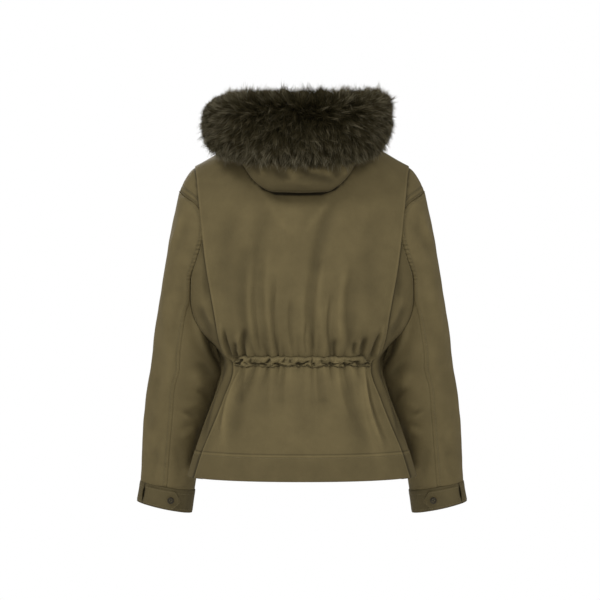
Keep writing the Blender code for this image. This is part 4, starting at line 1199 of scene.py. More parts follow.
class PARKA_OT_fronts(bpy.types.Operator):
    """The two fronts, fuller at the waist than the gathered back"""

    bl_idname = "parka.fronts"
    bl_label = "Fronts"

    def execute(self, context):
        rows = Rows(60, 24, 34)
        edges = centre_edge(rows, False), armhole_edge(rows)
        points, _, edge = panel(rows, *edges, False, [0.0, 1.5, 4.0], 40, [0.0, 0.8, 1.6, 3.0, 5.0])
        x, z = points[..., 0], points[..., 2]
        beyond = ease(x, 26.0, 46.0)
        relief = creases(FRONT_CREASES, x, z) * (1 - ease(z, -110, -70)) * beyond
        relief = relief + 0.8 * drift(x / 28.0 + z / 80.0, 4.0) * beyond
        straight = np.interp(z, *FRONT_STRAIGHT) - blend(BODY, z)[..., 2]
        slack = np.maximum(straight, 0.0) * (z > FRONT_STRAIGHT[0][0]) * (z < FRONT_STRAIGHT[0][1])
        bulge = FRONT_SLACK * slack * ease(edge, 2.0, 22.0) * ease(x, 14.0, 52.0)
        relief = relief + seam_relief(edge, z, None, 0.7) + hem_relief(z, x)
        normals = facing(points)
        points = settled(points + normals * (relief + bulge)[..., None])
        # painted shade beside the side seam at the waist
        beside = hump(z - FRONT_HOLLOW[0], FRONT_HOLLOW[1]) * (1 - ease(edge, 6.0, 26.0))
        shade = 0.6 * relief + hem_shade(z) + seam_shade(edge) - 5.0 * beside
        points, shade = turned_in(points, shade, normals, first=False)
        for label, _, grid, look in both_sides(points, shade):
            sheet(f"front_{label}", grid, main_cloth(context), look, "olive_gabardine",
                  (0.29, 0.62), "draped", 0.15, [f"side_back_{label}"])
            sew(f"front_{label}_stitches", [hem_line(grid, rows)], context)
        return {"FINISHED"}


class PARKA_OT_placket(bpy.types.Operator):
    """Stitched strip over the front closing"""

    bl_idname = "parka.placket"
    bl_label = "Front placket"

    def execute(self, context):
        top = float(top_height(0.0, False)) - PLACKET_TOP_GAP
        z = np.linspace(HEM + 0.3, top, 150)[:, None]
        half = PLACKET_SHARE * column(BODY, z) * np.sin(quarter(column(BODY, z), z) * PLACKET_COLUMN)
        inset = np.array([0.0, 0.7, 1.5, 3.0, 5.0, PLACKET_STITCH, 7.0, 9.0])
        inner = np.linspace(-1, 1, 9)[1:-1]
        places = np.concatenate([-1 + 0 * inset, inner, 1 + 0 * inset])
        shift = np.concatenate([inset, 0 * inner, -inset[::-1]])
        x = np.where(np.abs(places) == 1, places * half + shift, places * (half - inset[-1]))
        z = z + 0 * x
        points = on_body(x, z, False)
        relief = seam_relief(half - np.abs(x), z, PLACKET_STITCH, 0.5, 2.0)
        relief = relief + 0.35 * drift(z / 30.0 + x / 15.0, 3.0)
        points = points + facing(points) * (relief + PLACKET_OUT)[..., None]
        sheet("front_placket", points, main_cloth(context), relief, "olive_gabardine_trim",
              (0.036, 0.56), "draped", None, ["front_left", "front_right"], thick=PLACKET_CLOTH)
        at = list(inset).index(PLACKET_STITCH)
        lines = [column_line(points, facing(points), k, 0.9) for k in (at, -1 - at)]
        sew("front_placket_stitches", lines, context)
        return {"FINISHED"}


# ---- sleeves ----
def seam_point(z, back):
    """Points of the armhole seam on the wearer's left."""
    return on_body(column(ARMHOLE, z), z, back)


def seam_start(z, back):
    """Where the sleeve begins, just off the seam."""
    top = ease(z, SLEEVE_TOP_FROM, ARM_TOP)
    away = [mix(beside, below, top) for beside, below in zip(AWAY_BESIDE, AWAY_BELOW)]
    return seam_point(z, back) + SEAM_GAP * np.stack([away[0], 0 * top, away[1]], axis=-1)


def sleeve_ring(z, angle, back):
    """Points of the left sleeve; the angle runs from its outer side, by the back or front."""
    outer, middle, mid_y, depth, tilt = np.moveaxis(blend(SLEEVE, z), -1, 0)
    fuller = 1 - ease(z, ARM_VALLEY[1], ARM_VALLEY[0])
    seam = seam_point(z, back)
    above = z > ARM_VALLEY[1]
    middle = np.where(above, mix(seam[..., 0], middle, fuller), middle)
    depth = np.where(above, mix(np.abs(seam[..., 1]), depth, fuller), depth)
    a = np.radians(angle)
    x = middle + (outer - middle) * np.cos(a)
    y = mid_y + (1 if back else -1) * depth * np.sin(a)
    return np.stack([x, y, z + tilt * np.cos(a)], axis=-1)


def seam_angle(z):
    return column(SEAM_ANGLE, z)


def sleeve_outer_half(z, share, back):
    """Half of the outer sleeve: share runs from its outer fold to the seam."""
    point = sleeve_ring(z, share * seam_angle(z), back)
    anchor = np.maximum(z, SEAM_Z)
    pull = seam_start(anchor, back) - sleeve_ring(anchor, seam_angle(anchor), back)
    fade = np.where(z > SEAM_Z, 1.0, ease(z, SEAM_Z - SEAM_FADE, SEAM_Z))
    return point + pull * (fade * share**SEAM_POWER)[..., None]


def sleeve_under_half(z_seam, share, back):
    """Half of the under sleeve: share runs from under the arm to the seam."""
    start = mix(UNDERARM, SEAM_Z, share)
    z = mix(start, CUFF_TOP, (z_seam - SEAM_Z) / (CUFF_TOP - SEAM_Z))
    pull = seam_start(start, back) - sleeve_ring(start, mix(180.0, seam_angle(start), share), back)
    fade = ease(z, start - SEAM_FADE, start)
    return sleeve_ring(z, mix(180.0, seam_angle(z), share), back) + pull * fade[..., None]


def arm_outward(points):
    """Away from the left sleeve's middle."""
    middle = blend(SLEEVE, points[..., 2])
    x, y = points[..., 0] - middle[..., 1], points[..., 1] - middle[..., 2]
    return np.stack([x, y, 0 * x], axis=-1)


def sleeve_panel(make, z, edges, count):
    """A sleeve panel from one seam over its middle to the other, back half first.

    Returns its points, normals, distance from the nearer seam, height and angle round the arm.
    """
    def at(share):
        grid = z[:, None] + 0 * share
        halves = [make(grid, np.abs(share * 2 - 1), back) for back in (True, False)]
        return np.where((share < 0.5)[..., None], *halves)

    points, first, last = spaced(at, len(z), edges, count, edges)
    outward = arm_outward(points)
    angle = np.degrees(np.arctan2(outward[..., 1], outward[..., 0]))
    return points, facing(points, outward), np.minimum(first, last), points[..., 2], angle


def arm_creases(table, angle, z):
    """Creases of a table whose places are angles."""
    flat = [(a1 * DEGREE, z1, a2 * DEGREE, z2, *size) for a1, z1, a2, z2, *size in table]
    return creases(flat, angle * DEGREE, z)


def sleeve_rows(count):
    return np.concatenate([np.linspace(SEAM_Z, CUFF_TOP + 6, count), CUFF_ROWS[::-1], [CUFF_TOP]])


class PARKA_OT_sleeves(bpy.types.Operator):
    """Dropped sleeves in two pieces, topstitched along their seams and round the armhole"""

    bl_idname = "parka.sleeves"
    bl_label = "Sleeves"

    def outer(self):
        steps = np.sin(math.pi / 2 * np.linspace(0, 1, 101))[:0:-1]
        upper = mix(UNDERARM, ARM_TOP, mix(SEAM_SHARE, 1.0, steps))
        upper[0] -= 0.4
        rows = np.concatenate([upper, sleeve_rows(126)])
        points, normals, edge, z, angle = sleeve_panel(sleeve_outer_half, rows, SEAM_EDGES, 38)
        relief = 0.8 * arm_creases(SLEEVE_CREASES, angle, z)
        relief = relief + 0.6 * drift(z / 26.0 + angle * DEGREE / 40.0, 2.0)
        calm = ease(z, CUFF_TOP, CUFF_TOP + 25) * (1 - ease(z, -150, -112))
        relief = relief * calm * ease(edge, 4.0, 16.0)
        relief = relief + seam_relief(edge, z, TOPSTITCH, 0.7, 1.0)
        rungs = ease(z, *RUNGS[:2]) * (1 - ease(z, *RUNGS[2:])) * (1 - ease(edge, 6.0, 8.0))
        rungs = rungs * np.sin(z / PUCKER_LENGTH * 2 * math.pi + 1.5 * drift(z / 19.0, 3.0))
        rungs = rungs * (0.62 + 0.38 * drift(z / 11.0, 6.0))
        relief = relief + 0.8 * rungs - 0.8 * hump(z - CUFF_TOP, 2.0)
        shade = 0.5 * relief + 3.0 * rungs + seam_shade(edge, TOPSTITCH) + seam_shade(z - CUFF_TOP)
        return turned_in(points + normals * relief[..., None], shade, normals)

    def under(self):
        points, normals, edge, z, angle = sleeve_panel(
            sleeve_under_half, sleeve_rows(84), [0.0, 0.8, 1.6, 3.0, 5.0], 26
        )
        relief = 0.8 * arm_creases(UNDER_CREASES, angle, z) * ease(edge, 2.0, 14.0)
        relief = relief + seam_relief(edge, z, None, 0.7)
        # painted shade on the under sleeve's inner side at the waist, where it faces the body
        inside = hump(z + 425.0, 40.0) * ease(np.abs(angle), 105.0, 150.0)
        shade = 0.6 * relief + seam_shade(edge) + seam_shade(z - CUFF_TOP) - 3.4 * inside
        return turned_in(points + normals * relief[..., None], shade, normals)

    def execute(self, context):
        at = SEAM_EDGES.index(TOPSTITCH) + 1
        outer, under = (tuple(both_sides(*made)) for made in (self.outer(), self.under()))
        for halves in zip(outer, under):
            for kind, flat, area, (label, sign, grid, shade) in (
                ("outer", (0.24, 0.62), 0.108, halves[0]),
                ("under", (0.17, 0.45), 0.064, halves[1]),
            ):
                away = arm_outward(grid * (sign, 1, 1)) * (sign, 1, 1)
                sheet(f"sleeve_{kind}_{label}", grid, main_cloth(context), shade, "olive_gabardine",
                      flat, "draped", area, [f"front_{label}"], outward=away)
                if kind == "outer":
                    normals = facing(grid, away)
                    lines = [column_line(grid, normals, k, 0.7) for k in (at, -1 - at)]
            sew(f"sleeve_{label}_stitches", lines, context)
        return {"FINISHED"}


# ---- cuffs ----
def cuff_point(angle, share):
    """Points of the left cuff: angle right round it, share from its top to its bottom."""
    z = mix(CUFF_TOP, CUFF_BOTTOM, share)
    turned = np.mod(angle, 360.0)
    back, front = sleeve_ring(z, turned, True), sleeve_ring(z, 360.0 - turned, False)
    return np.where((turned <= 180.0)[..., None], back, front)


class PARKA_OT_cuffs(bpy.types.Operator):
    """Doubled cuffs with their slit, and the pointed tab that closes them"""

    bl_idname = "parka.cuffs"
    bl_label = "Cuffs and tabs"

    def band(self):
        """The cuff from one side of its slit to the other, and a lap behind the slit."""
        share = np.array([0.0, 0.02, 0.05, 0.1, 0.2, 0.32, 0.44, 0.56, 0.68, 0.8, 0.88, 0.94, 0.98, 1.0])
        gape = 0.1 + SLIT_HALF * np.sin(math.pi * share**0.85) ** 1.3
        gape = np.degrees(gape / CUFF_RADIUS)[:, None]
        start, end = SLIT_ANGLE, SLIT_ANGLE + 360.0
        angle = mix(start + gape, end - gape, np.linspace(0, 1, 97)[None, :])
        points = cuff_point(angle, share[:, None] + 0 * angle)
        edge = np.minimum(share, 1 - share)[:, None] * (CUFF_TOP - CUFF_BOTTOM) + 0 * angle
        relief = seam_relief(edge, angle, 2.5, 0.6, 2.0) + 0.4 * drift(angle / 14.0, 1.0)
        aside = np.minimum(angle - start, end - angle)
        lip = SLIT_LIP * hump(aside, 9.0) * np.sin(math.pi * share)[:, None]
        normals = facing(points, arm_outward(points))
        columns = [points + normals * (relief + lip + CUFF_OUT)[..., None]]
        for back, drop in ((0.0, 2.8), (8.0, 3.2), (15.0, 3.0)):
            lap = cuff_point(start - back + 0 * share[:, None], share[:, None])
            columns.insert(0, lap - normals[:, :1] * drop)
        # painted shade: the whole cuff darker, a dark line along the slit, and the lap behind the slit at
        # full painted shade
        shade = relief - 2.0 - 5.0 * hump(aside, 1.5)
        shades = [np.full((len(share), 3), -SHADE_SCALE), shade]
        return np.concatenate(columns, axis=1), np.concatenate(shades, axis=1)

    def tab(self):
        v = np.array([-1, -0.93, -0.86, -0.8, -0.6, -0.3, 0, 0.3, 0.6, 0.8, 0.86, 0.93, 1.0])[:, None]
        shares = np.concatenate([np.linspace(0, 0.86, 44), np.linspace(0.865, 1, 22)])
        angle = mix(TAB_FROM, TAB_TO, shares)[None, :] + 0 * v
        narrow = np.clip((angle - (TAB_TO - TAB_POINT)) / TAB_POINT, 0, 1) * TAB_NARROWING
        points = cuff_point(angle, TAB_MIDDLE + v * TAB_HALF * (1 - narrow) / (CUFF_TOP - CUFF_BOTTOM))
        edge = (1 - np.abs(v)) * TAB_HALF * (1 - narrow)
        relief = -0.5 * hump(edge, 0.9) - 0.3 * hump(edge - 2.4, 0.9)
        relief = relief + 0.35 * drift(angle / 13.0 + v, 2.0)
        settle = 1.2 * (1 - ease(angle, TAB_FROM, TAB_FROM + 12))
        normals = facing(points, arm_outward(points))
        return points + normals * (relief + TAB_OUT - settle)[..., None], relief - 0.7

    def execute(self, context):
        cuffs, tabs = (tuple(both_sides(*made)) for made in (self.band(), self.tab()))
        for pair in zip(cuffs, tabs):
            for kind, thick, flat, area, rows, (label, sign, grid, shade) in (
                ("cuff", CUFF_CLOTH, (0.30, 0.042), None, (4, -4), pair[0]),
                ("cuff_tab", TAB_CLOTH, (0.10, 0.034), 0.0026, (2, -3), pair[1]),
            ):
                away = arm_outward(grid * (sign, 1, 1)) * (sign, 1, 1)
                sheet(f"{kind}_{label}", grid, trim_cloth(context), shade, "olive_gabardine_trim",
                      flat, "draped", area, [f"sleeve_outer_{label}"], thick=thick, outward=away)
                normals = facing(grid, away)
                lines = [row_line(grid, normals, k, thick / 2 + 0.1) for k in rows]
                sew(f"{kind}_{label}_stitches", lines, context)
        return {"FINISHED"}


# ---- buttons ----
class PARKA_OT_buttons(bpy.types.Operator):
    """Four-hole buttons of the cuffs and the front, with the thread that holds them"""

    bl_idname = "parka.buttons"
    bl_label = "Buttons"

    def master(self, finish):
        """A button that faces +Z, turned from its profile and drilled."""
        half, radius = BUTTON_THICK / 2, BUTTON_RADIUS
        profile = [
            (0.0, half - 1.0), (2.6, half - 1.0), (3.7, half - 0.8), (4.3, half - 0.3), (4.9, half),
            (radius - 0.6, half), (radius - 0.15, half - 0.3), (radius, half - 0.8),
            (radius, -half + 0.8), (radius - 0.5, -half + 0.15), (radius - 1.2, -half), (0.0, -half),
        ]
        mesh = bpy.data.meshes.new("button")
        edges = [(k, k + 1) for k in range(len(profile) - 1)]
        mesh.from_pydata([(x * MM, 0.0, z * MM) for x, z in profile], edges, [])
        mesh.materials.append(finish)
        obj = placed("button", mesh)
        turn = obj.modifiers.new("Turn", "SCREW")
        turn.steps = turn.render_steps = 36
        turn.use_merge_vertices = True
        turn.merge_threshold = 0.00001
        cutters = []
        for x, y in ((1, 1), (1, -1), (-1, 1), (-1, -1)):
            place = (BUTTON_HOLE * x * MM, BUTTON_HOLE * y * MM, 0)
            bpy.ops.mesh.primitive_cylinder_add(
                vertices=12, radius=BUTTON_BORE * MM, depth=8 * MM, location=place
            )
            cutters.append(bpy.context.object)
            cut = obj.modifiers.new("Hole", "BOOLEAN")
            cut.operation = "DIFFERENCE"
            cut.object = cutters[-1]
        graph = bpy.context.evaluated_depsgraph_get()
        made = bpy.data.meshes.new_from_object(obj.evaluated_get(graph))
        for extra in [obj, *cutters]:
            bpy.data.objects.remove(extra, do_unlink=True)
        made.shade_smooth()
        made.set_sharp_from_angle(angle=math.radians(35))
        return made

    def put(self, name, master, centre, way, turned, context):
        """Sews a copy of the button on at a place, facing the given way."""
        centre, way = Vector(centre) * MM, Vector(way).normalized()
        matrix = Matrix.Translation(centre) @ way.to_track_quat("Z", "Y").to_matrix().to_4x4()
        matrix = matrix @ Matrix.Rotation(math.radians(turned), 4, "Z")
        mesh = master.copy()
        mesh.name = f"{name}_four_hole"
        mesh.transform(matrix)
        dress(placed(mesh.name, mesh), "dark_olive_button", name)
        lines = []
        for y in (BUTTON_HOLE, -BUTTON_HOLE):
            for ends in (((-2.0, y, 0.3), (2.0, y, 0.3)), ((y, -2.0, 0.3), (y, 2.0, 0.3))):
                lines.append([tuple(matrix @ (Vector(p) * MM) / MM) for p in ends])
        sew(f"{name}_thread", lines, context)

    def execute(self, context):
        look = context.scene.parka_buttons
        horn = plain_finish("dark_olive_horn", look.colour, look.roughness, 130.0, 0.35, 0.2)
        master = self.master(horn)
        for index in range(PLACKET_BUTTONS):
            z = PLACKET_BUTTON_TOP - PLACKET_BUTTON_STEP * index
            here, above = (torso(np.array(0.0), np.array(h), False) for h in (z, z + 2.0))
            way = np.cross(above - here, (1.0, 0.0, 0.0))
            way = unit(way * (-1 if way[1] > 0 else 1))
            centre = here + way * (PLACKET_OUT + PLACKET_CLOTH / 2 + BUTTON_GAP + BUTTON_THICK / 2)
            self.put(f"placket_button_{index + 1}", master, centre, way, 7 * index, context)
        here, beside, below = (
            cuff_point(np.array(BUTTON_ANGLE + turn), np.array(share))
            for turn, share in ((0.0, TAB_MIDDLE), (2.0, TAB_MIDDLE), (0.0, 1.0))
        )
        way = unit(np.cross(beside - here, below - here))
        way = way * (1 if way @ arm_outward(here) > 0 else -1)
        centre = here + way * (TAB_OUT + TAB_CLOTH / 2 + BUTTON_GAP + BUTTON_THICK / 2)
        for label, sign in (("left", 1), ("right", -1)):
            side = np.array((sign, 1, 1))
            self.put(f"cuff_button_{label}", master, centre * side, way * side, 20 * sign, context)
        bpy.data.meshes.remove(master)
        return {"FINISHED"}


# ---- hood ----
def neck_point(angle):
    a = np.radians(angle)
    behind = np.cos(a) >= 0
    reach, drop = (np.where(behind, size[True], size[False]) for size in (NECK_REACH, NECK_DROP))
    lift = PLEAT_OUT_TOP * ease(np.cos(a), 0.0, COLLAR_RISE)
    return np.stack([NECK * np.sin(a), reach * np.cos(a), lift - drop * np.cos(a) ** 2], axis=-1)


def hood_grid(columns, shares):
    """The hood runs from the neckline down to the fold of its pouch and up the outside to the fur."""
    u = np.linspace(-1, 1, columns)
    angle = HOOD_END * mix(u * np.abs(u), u, HOOD_EVEN)
    drop, reach, outer = blend(HOOD, np.abs(angle)).T
    close = np.minimum(reach, 1.0)
    path = []
    for (out_pouch, up_pouch), (out_stand, up_stand) in zip(HOOD_POUCH, HOOD_STAND):
        out = out_pouch * reach + out_stand * (1 - close)
        path.append(np.stack([out, mix(up_stand, up_pouch, drop)]))
    for k in range(HOOD_FOLD + 1, len(path)):
        path[k] = mix(path[HOOD_FOLD], path[k], outer)
    a = np.radians(angle * mix(1.0, HOOD_LEAN, close))
    rows, final = [], len(path) - 1
    for share in shares:
        s = share * final
        i = min(int(s), final - 1)
        t = s - i
        p = [path[min(max(k, 0), final)] for k in range(i - 1, i + 3)]
        out, up = 0.5 * (
            2 * p[1] + (p[2] - p[0]) * t + (2 * p[0] - 5 * p[1] + 4 * p[2] - p[3]) * t * t
            + (3 * p[1] - p[0] - 3 * p[2] + p[3]) * t**3
        )
        rows.append(neck_point(angle) + np.stack([out * np.sin(a), out * np.cos(a), up], axis=-1))
    return np.array(rows)


class PARKA_OT_hood(bpy.types.Operator):
    """The hood, lying back as a soft pouch under the fur"""

    bl_idname = "parka.hood"
    bl_label = "Hood"

    def execute(self, context):
        shares = np.union1d(np.linspace(0, 1, 37), np.linspace(0.62, 0.78, 25))
        points = hood_grid(121, shares)
        normals = facing(points, points * (1, 1, 0) + (0, -30.0, 20.0))
        x, z = points[..., 0], points[..., 2]
        outer_side = ease(shares, 0.5, 0.62)[:, None]
        relief = 0.75 * creases(HOOD_CREASES, x, z) * outer_side
        relief = relief + 0.5 * drift(x / 17.0 + z / 25.0, 2.0) * outer_side
        points = points + normals * relief[..., None]
        points[..., 0] += POUCH_LEFT * ease(x, 8.0, 60.0) * ease(-z, 30.0, 60.0)
        lip = (1 - ease(shares, *HOOD_LIP)) * (shares > 0.5)
        # painted shade over the whole pouch under the fur, and full painted shade where it turns under
        shade = 1.2 * relief - 4.1 - 7.0 * lip[:, None]
        sheet("hood", points, main_cloth(context), shade, "olive_gabardine",
              (0.44, 0.16), "folded", 0.055, ["back_panel_cloth"])
        return {"FINISHED"}


# ---- fur ----
def fur_rings(rings, sides, size):
    """Rings of the fur band, its section drawn in to the given share, with direction vectors."""
    run = np.linspace(-1, 1, rings)
    share, sign = np.abs(run), np.where(run < 0, -1.0, 1.0)
    x, y, z, thick, tall, lean = blend(FUR, share).T
    ahead = blend(FUR, np.minimum(share + FUR_STEP, 1.0))
    behind = blend(FUR, np.maximum(share - FUR_STEP, 0.0))
    way = unit(np.stack([ahead[:, 0] - behind[:, 0], ahead[:, 1] - behind[:, 1], 0 * x], axis=-1))
    way = np.where((share < FUR_STEP)[:, None], (1.0, 0.0, 0.0), way)
    out = np.stack([-way[:, 1], way[:, 0], 0 * x], axis=-1)
    a = np.linspace(0, 2 * math.pi, sides, endpoint=False)
    r, h = np.cos(a), np.sin(a)
    reach = thick[:, None] * r * np.where(r > 0, 1.0, FUR_INNER) * size
    reach = reach + lean[:, None] * np.maximum(-h, 0.0) ** FUR_LEAN_POWER * size
    centre = np.stack([x, y, z], axis=-1)
    rise = (tall[:, None] * h * size)[..., None] * np.array((0, 0, 1.0))
    points = centre[:, None] + out[:, None] * reach[..., None] + rise
    side = sided(np.where(sign > 0, 1.0, -FUR_RIGHT))
    return points * side[:, None], way * sided(sign), a


def rounded_ends(points, ways, reach):
    """Closes a row of rings with a rounded end at each side."""
    ends = []
    for near, way in ((points[0], ways[0]), (points[-1], ways[-1])):
        middle = near.mean(axis=0)
        turns = [math.pi / 2 * k / FUR_END_RINGS for k in range(1, FUR_END_RINGS + 1)]
        ends.append([middle + way * reach * math.sin(a) + (near - middle) * math.cos(a) for a in turns])
    return np.concatenate([ends[0][::-1], points, ends[1]])


def fur_shape(points):
    """The left end is cut away on top; both ends reach further out below."""
    x, z = points[..., 0], points[..., 2]
    far = ease(np.abs(x), 95.0, 150.0)
    aside = far * ease(-z, -25.0, 25.0) * np.where(x > 0, *FUR_SPREAD)
    drop = FUR_CUT * ease(x, 95.0, 150.0) * ease(z, 25.0, 60.0)
    tuck = FUR_TUCK * far * (x < 0) * hump(z - 28.0, 30.0)
    return points + np.stack([np.sign(x) * (aside - tuck), 0 * x, -drop], axis=-1)


def fur_length(x, y, z):
    """Length of the hair over the band, as a share of the longest."""
    far = np.abs(x)
    length = 1.0 - 0.28 * ease(far, 110.0, 165.0) + 0.12 * ease(far, 110.0, 160.0) * ease(-z, 0.0, 40.0)
    length = length - 0.3 * ease(x, 120.0, 165.0) * ease(z, 20.0, 50.0)
    for place in FUR_DIPS:
        length = length - 0.5 * hump(x - place, 7.0) * ease(z, 36.0, 60.0)
    length = length + (np.interp(x, *np.array(FUR_TOP).T) - 0.1) * ease(z, 34.0, 60.0)
    length = length - 0.3 * ease(-y, 90.0, 140.0)
    return length - 0.12 * ease(-x, 118.0, 150.0) * ease(z, 20.0, 48.0)


def fur_shade(x, y, z):
    """Shade of the hair from 0, dark, to 1: lighter at the ends, below and along the top."""
    far = np.abs(x)
    low = ease(-z, -10.0, 56.0) * (1 - 0.3 * ease(far, 60.0, 120.0))
    middle = np.exp(-(((x + 4.0) / 80.0) ** 2) - ((z - 14.0) / 40.0) ** 2)
    shade = 0.38 + 0.34 * ease(far, 70.0, 180.0) + 0.22 * low + 0.12 * ease(z, 40.0, 66.0) - 0.16 * middle
    shade = shade + 0.08 * drift(x / 23.0 + z / 31.0, 3.0)
    for px, pz, wide, tall, amount in FUR_PATCHES:
        near = ((x - px) / wide) ** 2 + ((z - pz) / tall) ** 2
        shade = shade + amount * np.exp(-near) * (y > 60.0)
    return shade


def lock_mesh(name, seed, strands, finish, width):
    """A small lock of hair, one metre long for scaling, whose strands lean together at the tip."""
    chance = np.random.default_rng(seed)
    spread = LOCK_SPREAD * MM
    verts, faces, along, tone = [], [], [], []
    bend = np.array((chance.normal(0, 0.12), -0.10 + chance.normal(0, 0.06))) * 0.04
    for _ in range(strands):
        root = chance.normal(0, spread, 2)
        tip = root * LOCK_GATHER + chance.normal(0, spread * 0.8, 2)
        long = chance.uniform(0.55, 1.05)
        tilt = chance.normal(0, 0.7)
        side = np.array((math.cos(tilt), math.sin(tilt))) * width / 2
        start = len(verts)
        for t, wide in ((0.0, 1.0), (0.5, 0.8)):
            centre = mix(root, tip, t) + bend * t**2
            verts += [(*(centre + side * way * wide), t * long) for way in (-1, 1)]
            along += [t * long] * 2
        verts.append((*(tip + bend), long))
        along.append(min(long, 1.0))
        tone += [chance.normal(0, 0.27)] * 5
        faces += [(start, start + 1, start + 3, start + 2), (start + 2, start + 3, start + 4)]
    mesh = bpy.data.meshes.new(name)
    mesh.from_pydata(verts, [], faces)
    mesh.materials.append(finish)
    mesh.shade_smooth()
    set_field(mesh, "along", np.array(along))
    set_field(mesh, "strand", np.array(tone))
    return bpy.data.objects.new(name, mesh)


def fur_tree():
    """Geometry nodes that cover a surface with locks of hair along its flow."""
    fields = {
        f"read_{name}": ("GeometryNodeInputNamedAttribute", {"data_type": kind, "Name": name})
        for name, kind in (
            ("flow", "FLOAT_VECTOR"),
            ("outward", "FLOAT_VECTOR"),
            ("length", "FLOAT"),
            ("shade", "FLOAT"),
            ("along", "FLOAT"),
            ("tone", "FLOAT"),
            ("strand", "FLOAT"),
        )
    }
    return node_group(
        "fur_cover",
        "GeometryNodeTree",
        [
            ("Geometry", "Geometry"),
            ("Locks", "Collection"),
            ("Density", "Float", 10000.0),
            ("Length", "Float", 0.04),
            ("Unevenness", "Float", 0.25),
            ("Seed", "Int", 1),
            ("Finish", "Material"),
        ],
        [("Geometry", "Geometry")],
        {
            **fields,
            "scatter": ("GeometryNodeDistributePointsOnFaces", {"distribute_method": "RANDOM"}),
            "jitter": (
                "FunctionNodeRandomValue",
                {"data_type": "FLOAT_VECTOR", 0: (-1, -1, -1), 1: (1, 1, 1)},
            ),
            "soft": "VectorMath SCALE",
            "way": "VectorMath ADD",
            "aim": ("FunctionNodeAlignRotationToVector", {"axis": "Z"}),
            "roll": ("FunctionNodeAlignRotationToVector", {"axis": "Y", "pivot_axis": "Z"}),
            "pick": ("FunctionNodeRandomValue", {"data_type": "INT", 4: 0, 5: 999}),
            "vary": ("FunctionNodeRandomValue", {"data_type": "FLOAT", 2: 0.72, 3: 1.12}),
            "long": "Math MULTIPLY",
            "longer": "Math MULTIPLY",
            "size": ("CombineXYZ", {"X": 1.0, "Y": 1.0}),
            "locks": (
                "GeometryNodeCollectionInfo",
                {"Separate Children": True, "Reset Children": True},
            ),
            "lay": ("GeometryNodeInstanceOnPoints", {"Pick Instance": True}),
            "tone": ("FunctionNodeRandomValue", {"data_type": "FLOAT", 2: -0.36, 3: 0.33}),
            "toned": ("Math ADD", {"use_clamp": True}),
            "fine": ("Math ADD", {"use_clamp": True}),
            "keep": ("GeometryNodeStoreNamedAttribute", {"domain": "INSTANCE", "Name": "tone"}),
            "real": "GeometryNodeRealizeInstances",
            "both": "CombineXYZ",
            "write": (
                "GeometryNodeStoreNamedAttribute",
                {"data_type": "FLOAT2", "domain": "CORNER", "Name": "OFBake"},
            ),
            "finish": "GeometryNodeSetMaterial",
        },
        """
        given.Geometry > scatter.Mesh; given.Density > scatter.Density
        given.Seed > scatter.Seed, jitter.Seed, pick.Seed, vary.Seed, tone.Seed
        jitter.0 > soft.0; given.Unevenness > soft.Scale; read_flow.0 > way.0; soft.0 > way.1
        way.0 > aim.Vector; aim.0 > roll.Rotation; read_outward.0 > roll.Vector
        given.Length > long.0; vary.1 > long.1; long.0 > longer.0; read_length.0 > longer.1
        longer.0 > size.Z; given.Locks > locks.Collection; scatter.Points > lay.Points
        locks.0 > lay.Instance; pick.2 > lay.Instance Index; roll.0 > lay.Rotation
        size.0 > lay.Scale; lay.0 > keep.Geometry; read_shade.0 > toned.0; tone.1 > toned.1
        toned.0 > keep.Value; keep.0 > real.0; real.0 > write.Geometry
        read_tone.0 > fine.0; read_strand.0 > fine.1; fine.0 > both.X; read_along.0 > both.Y
        both.0 > write.Value; write.0 > finish.Geometry; given.Finish > finish.Material
        finish.0 > out.Geometry
        """,
    )


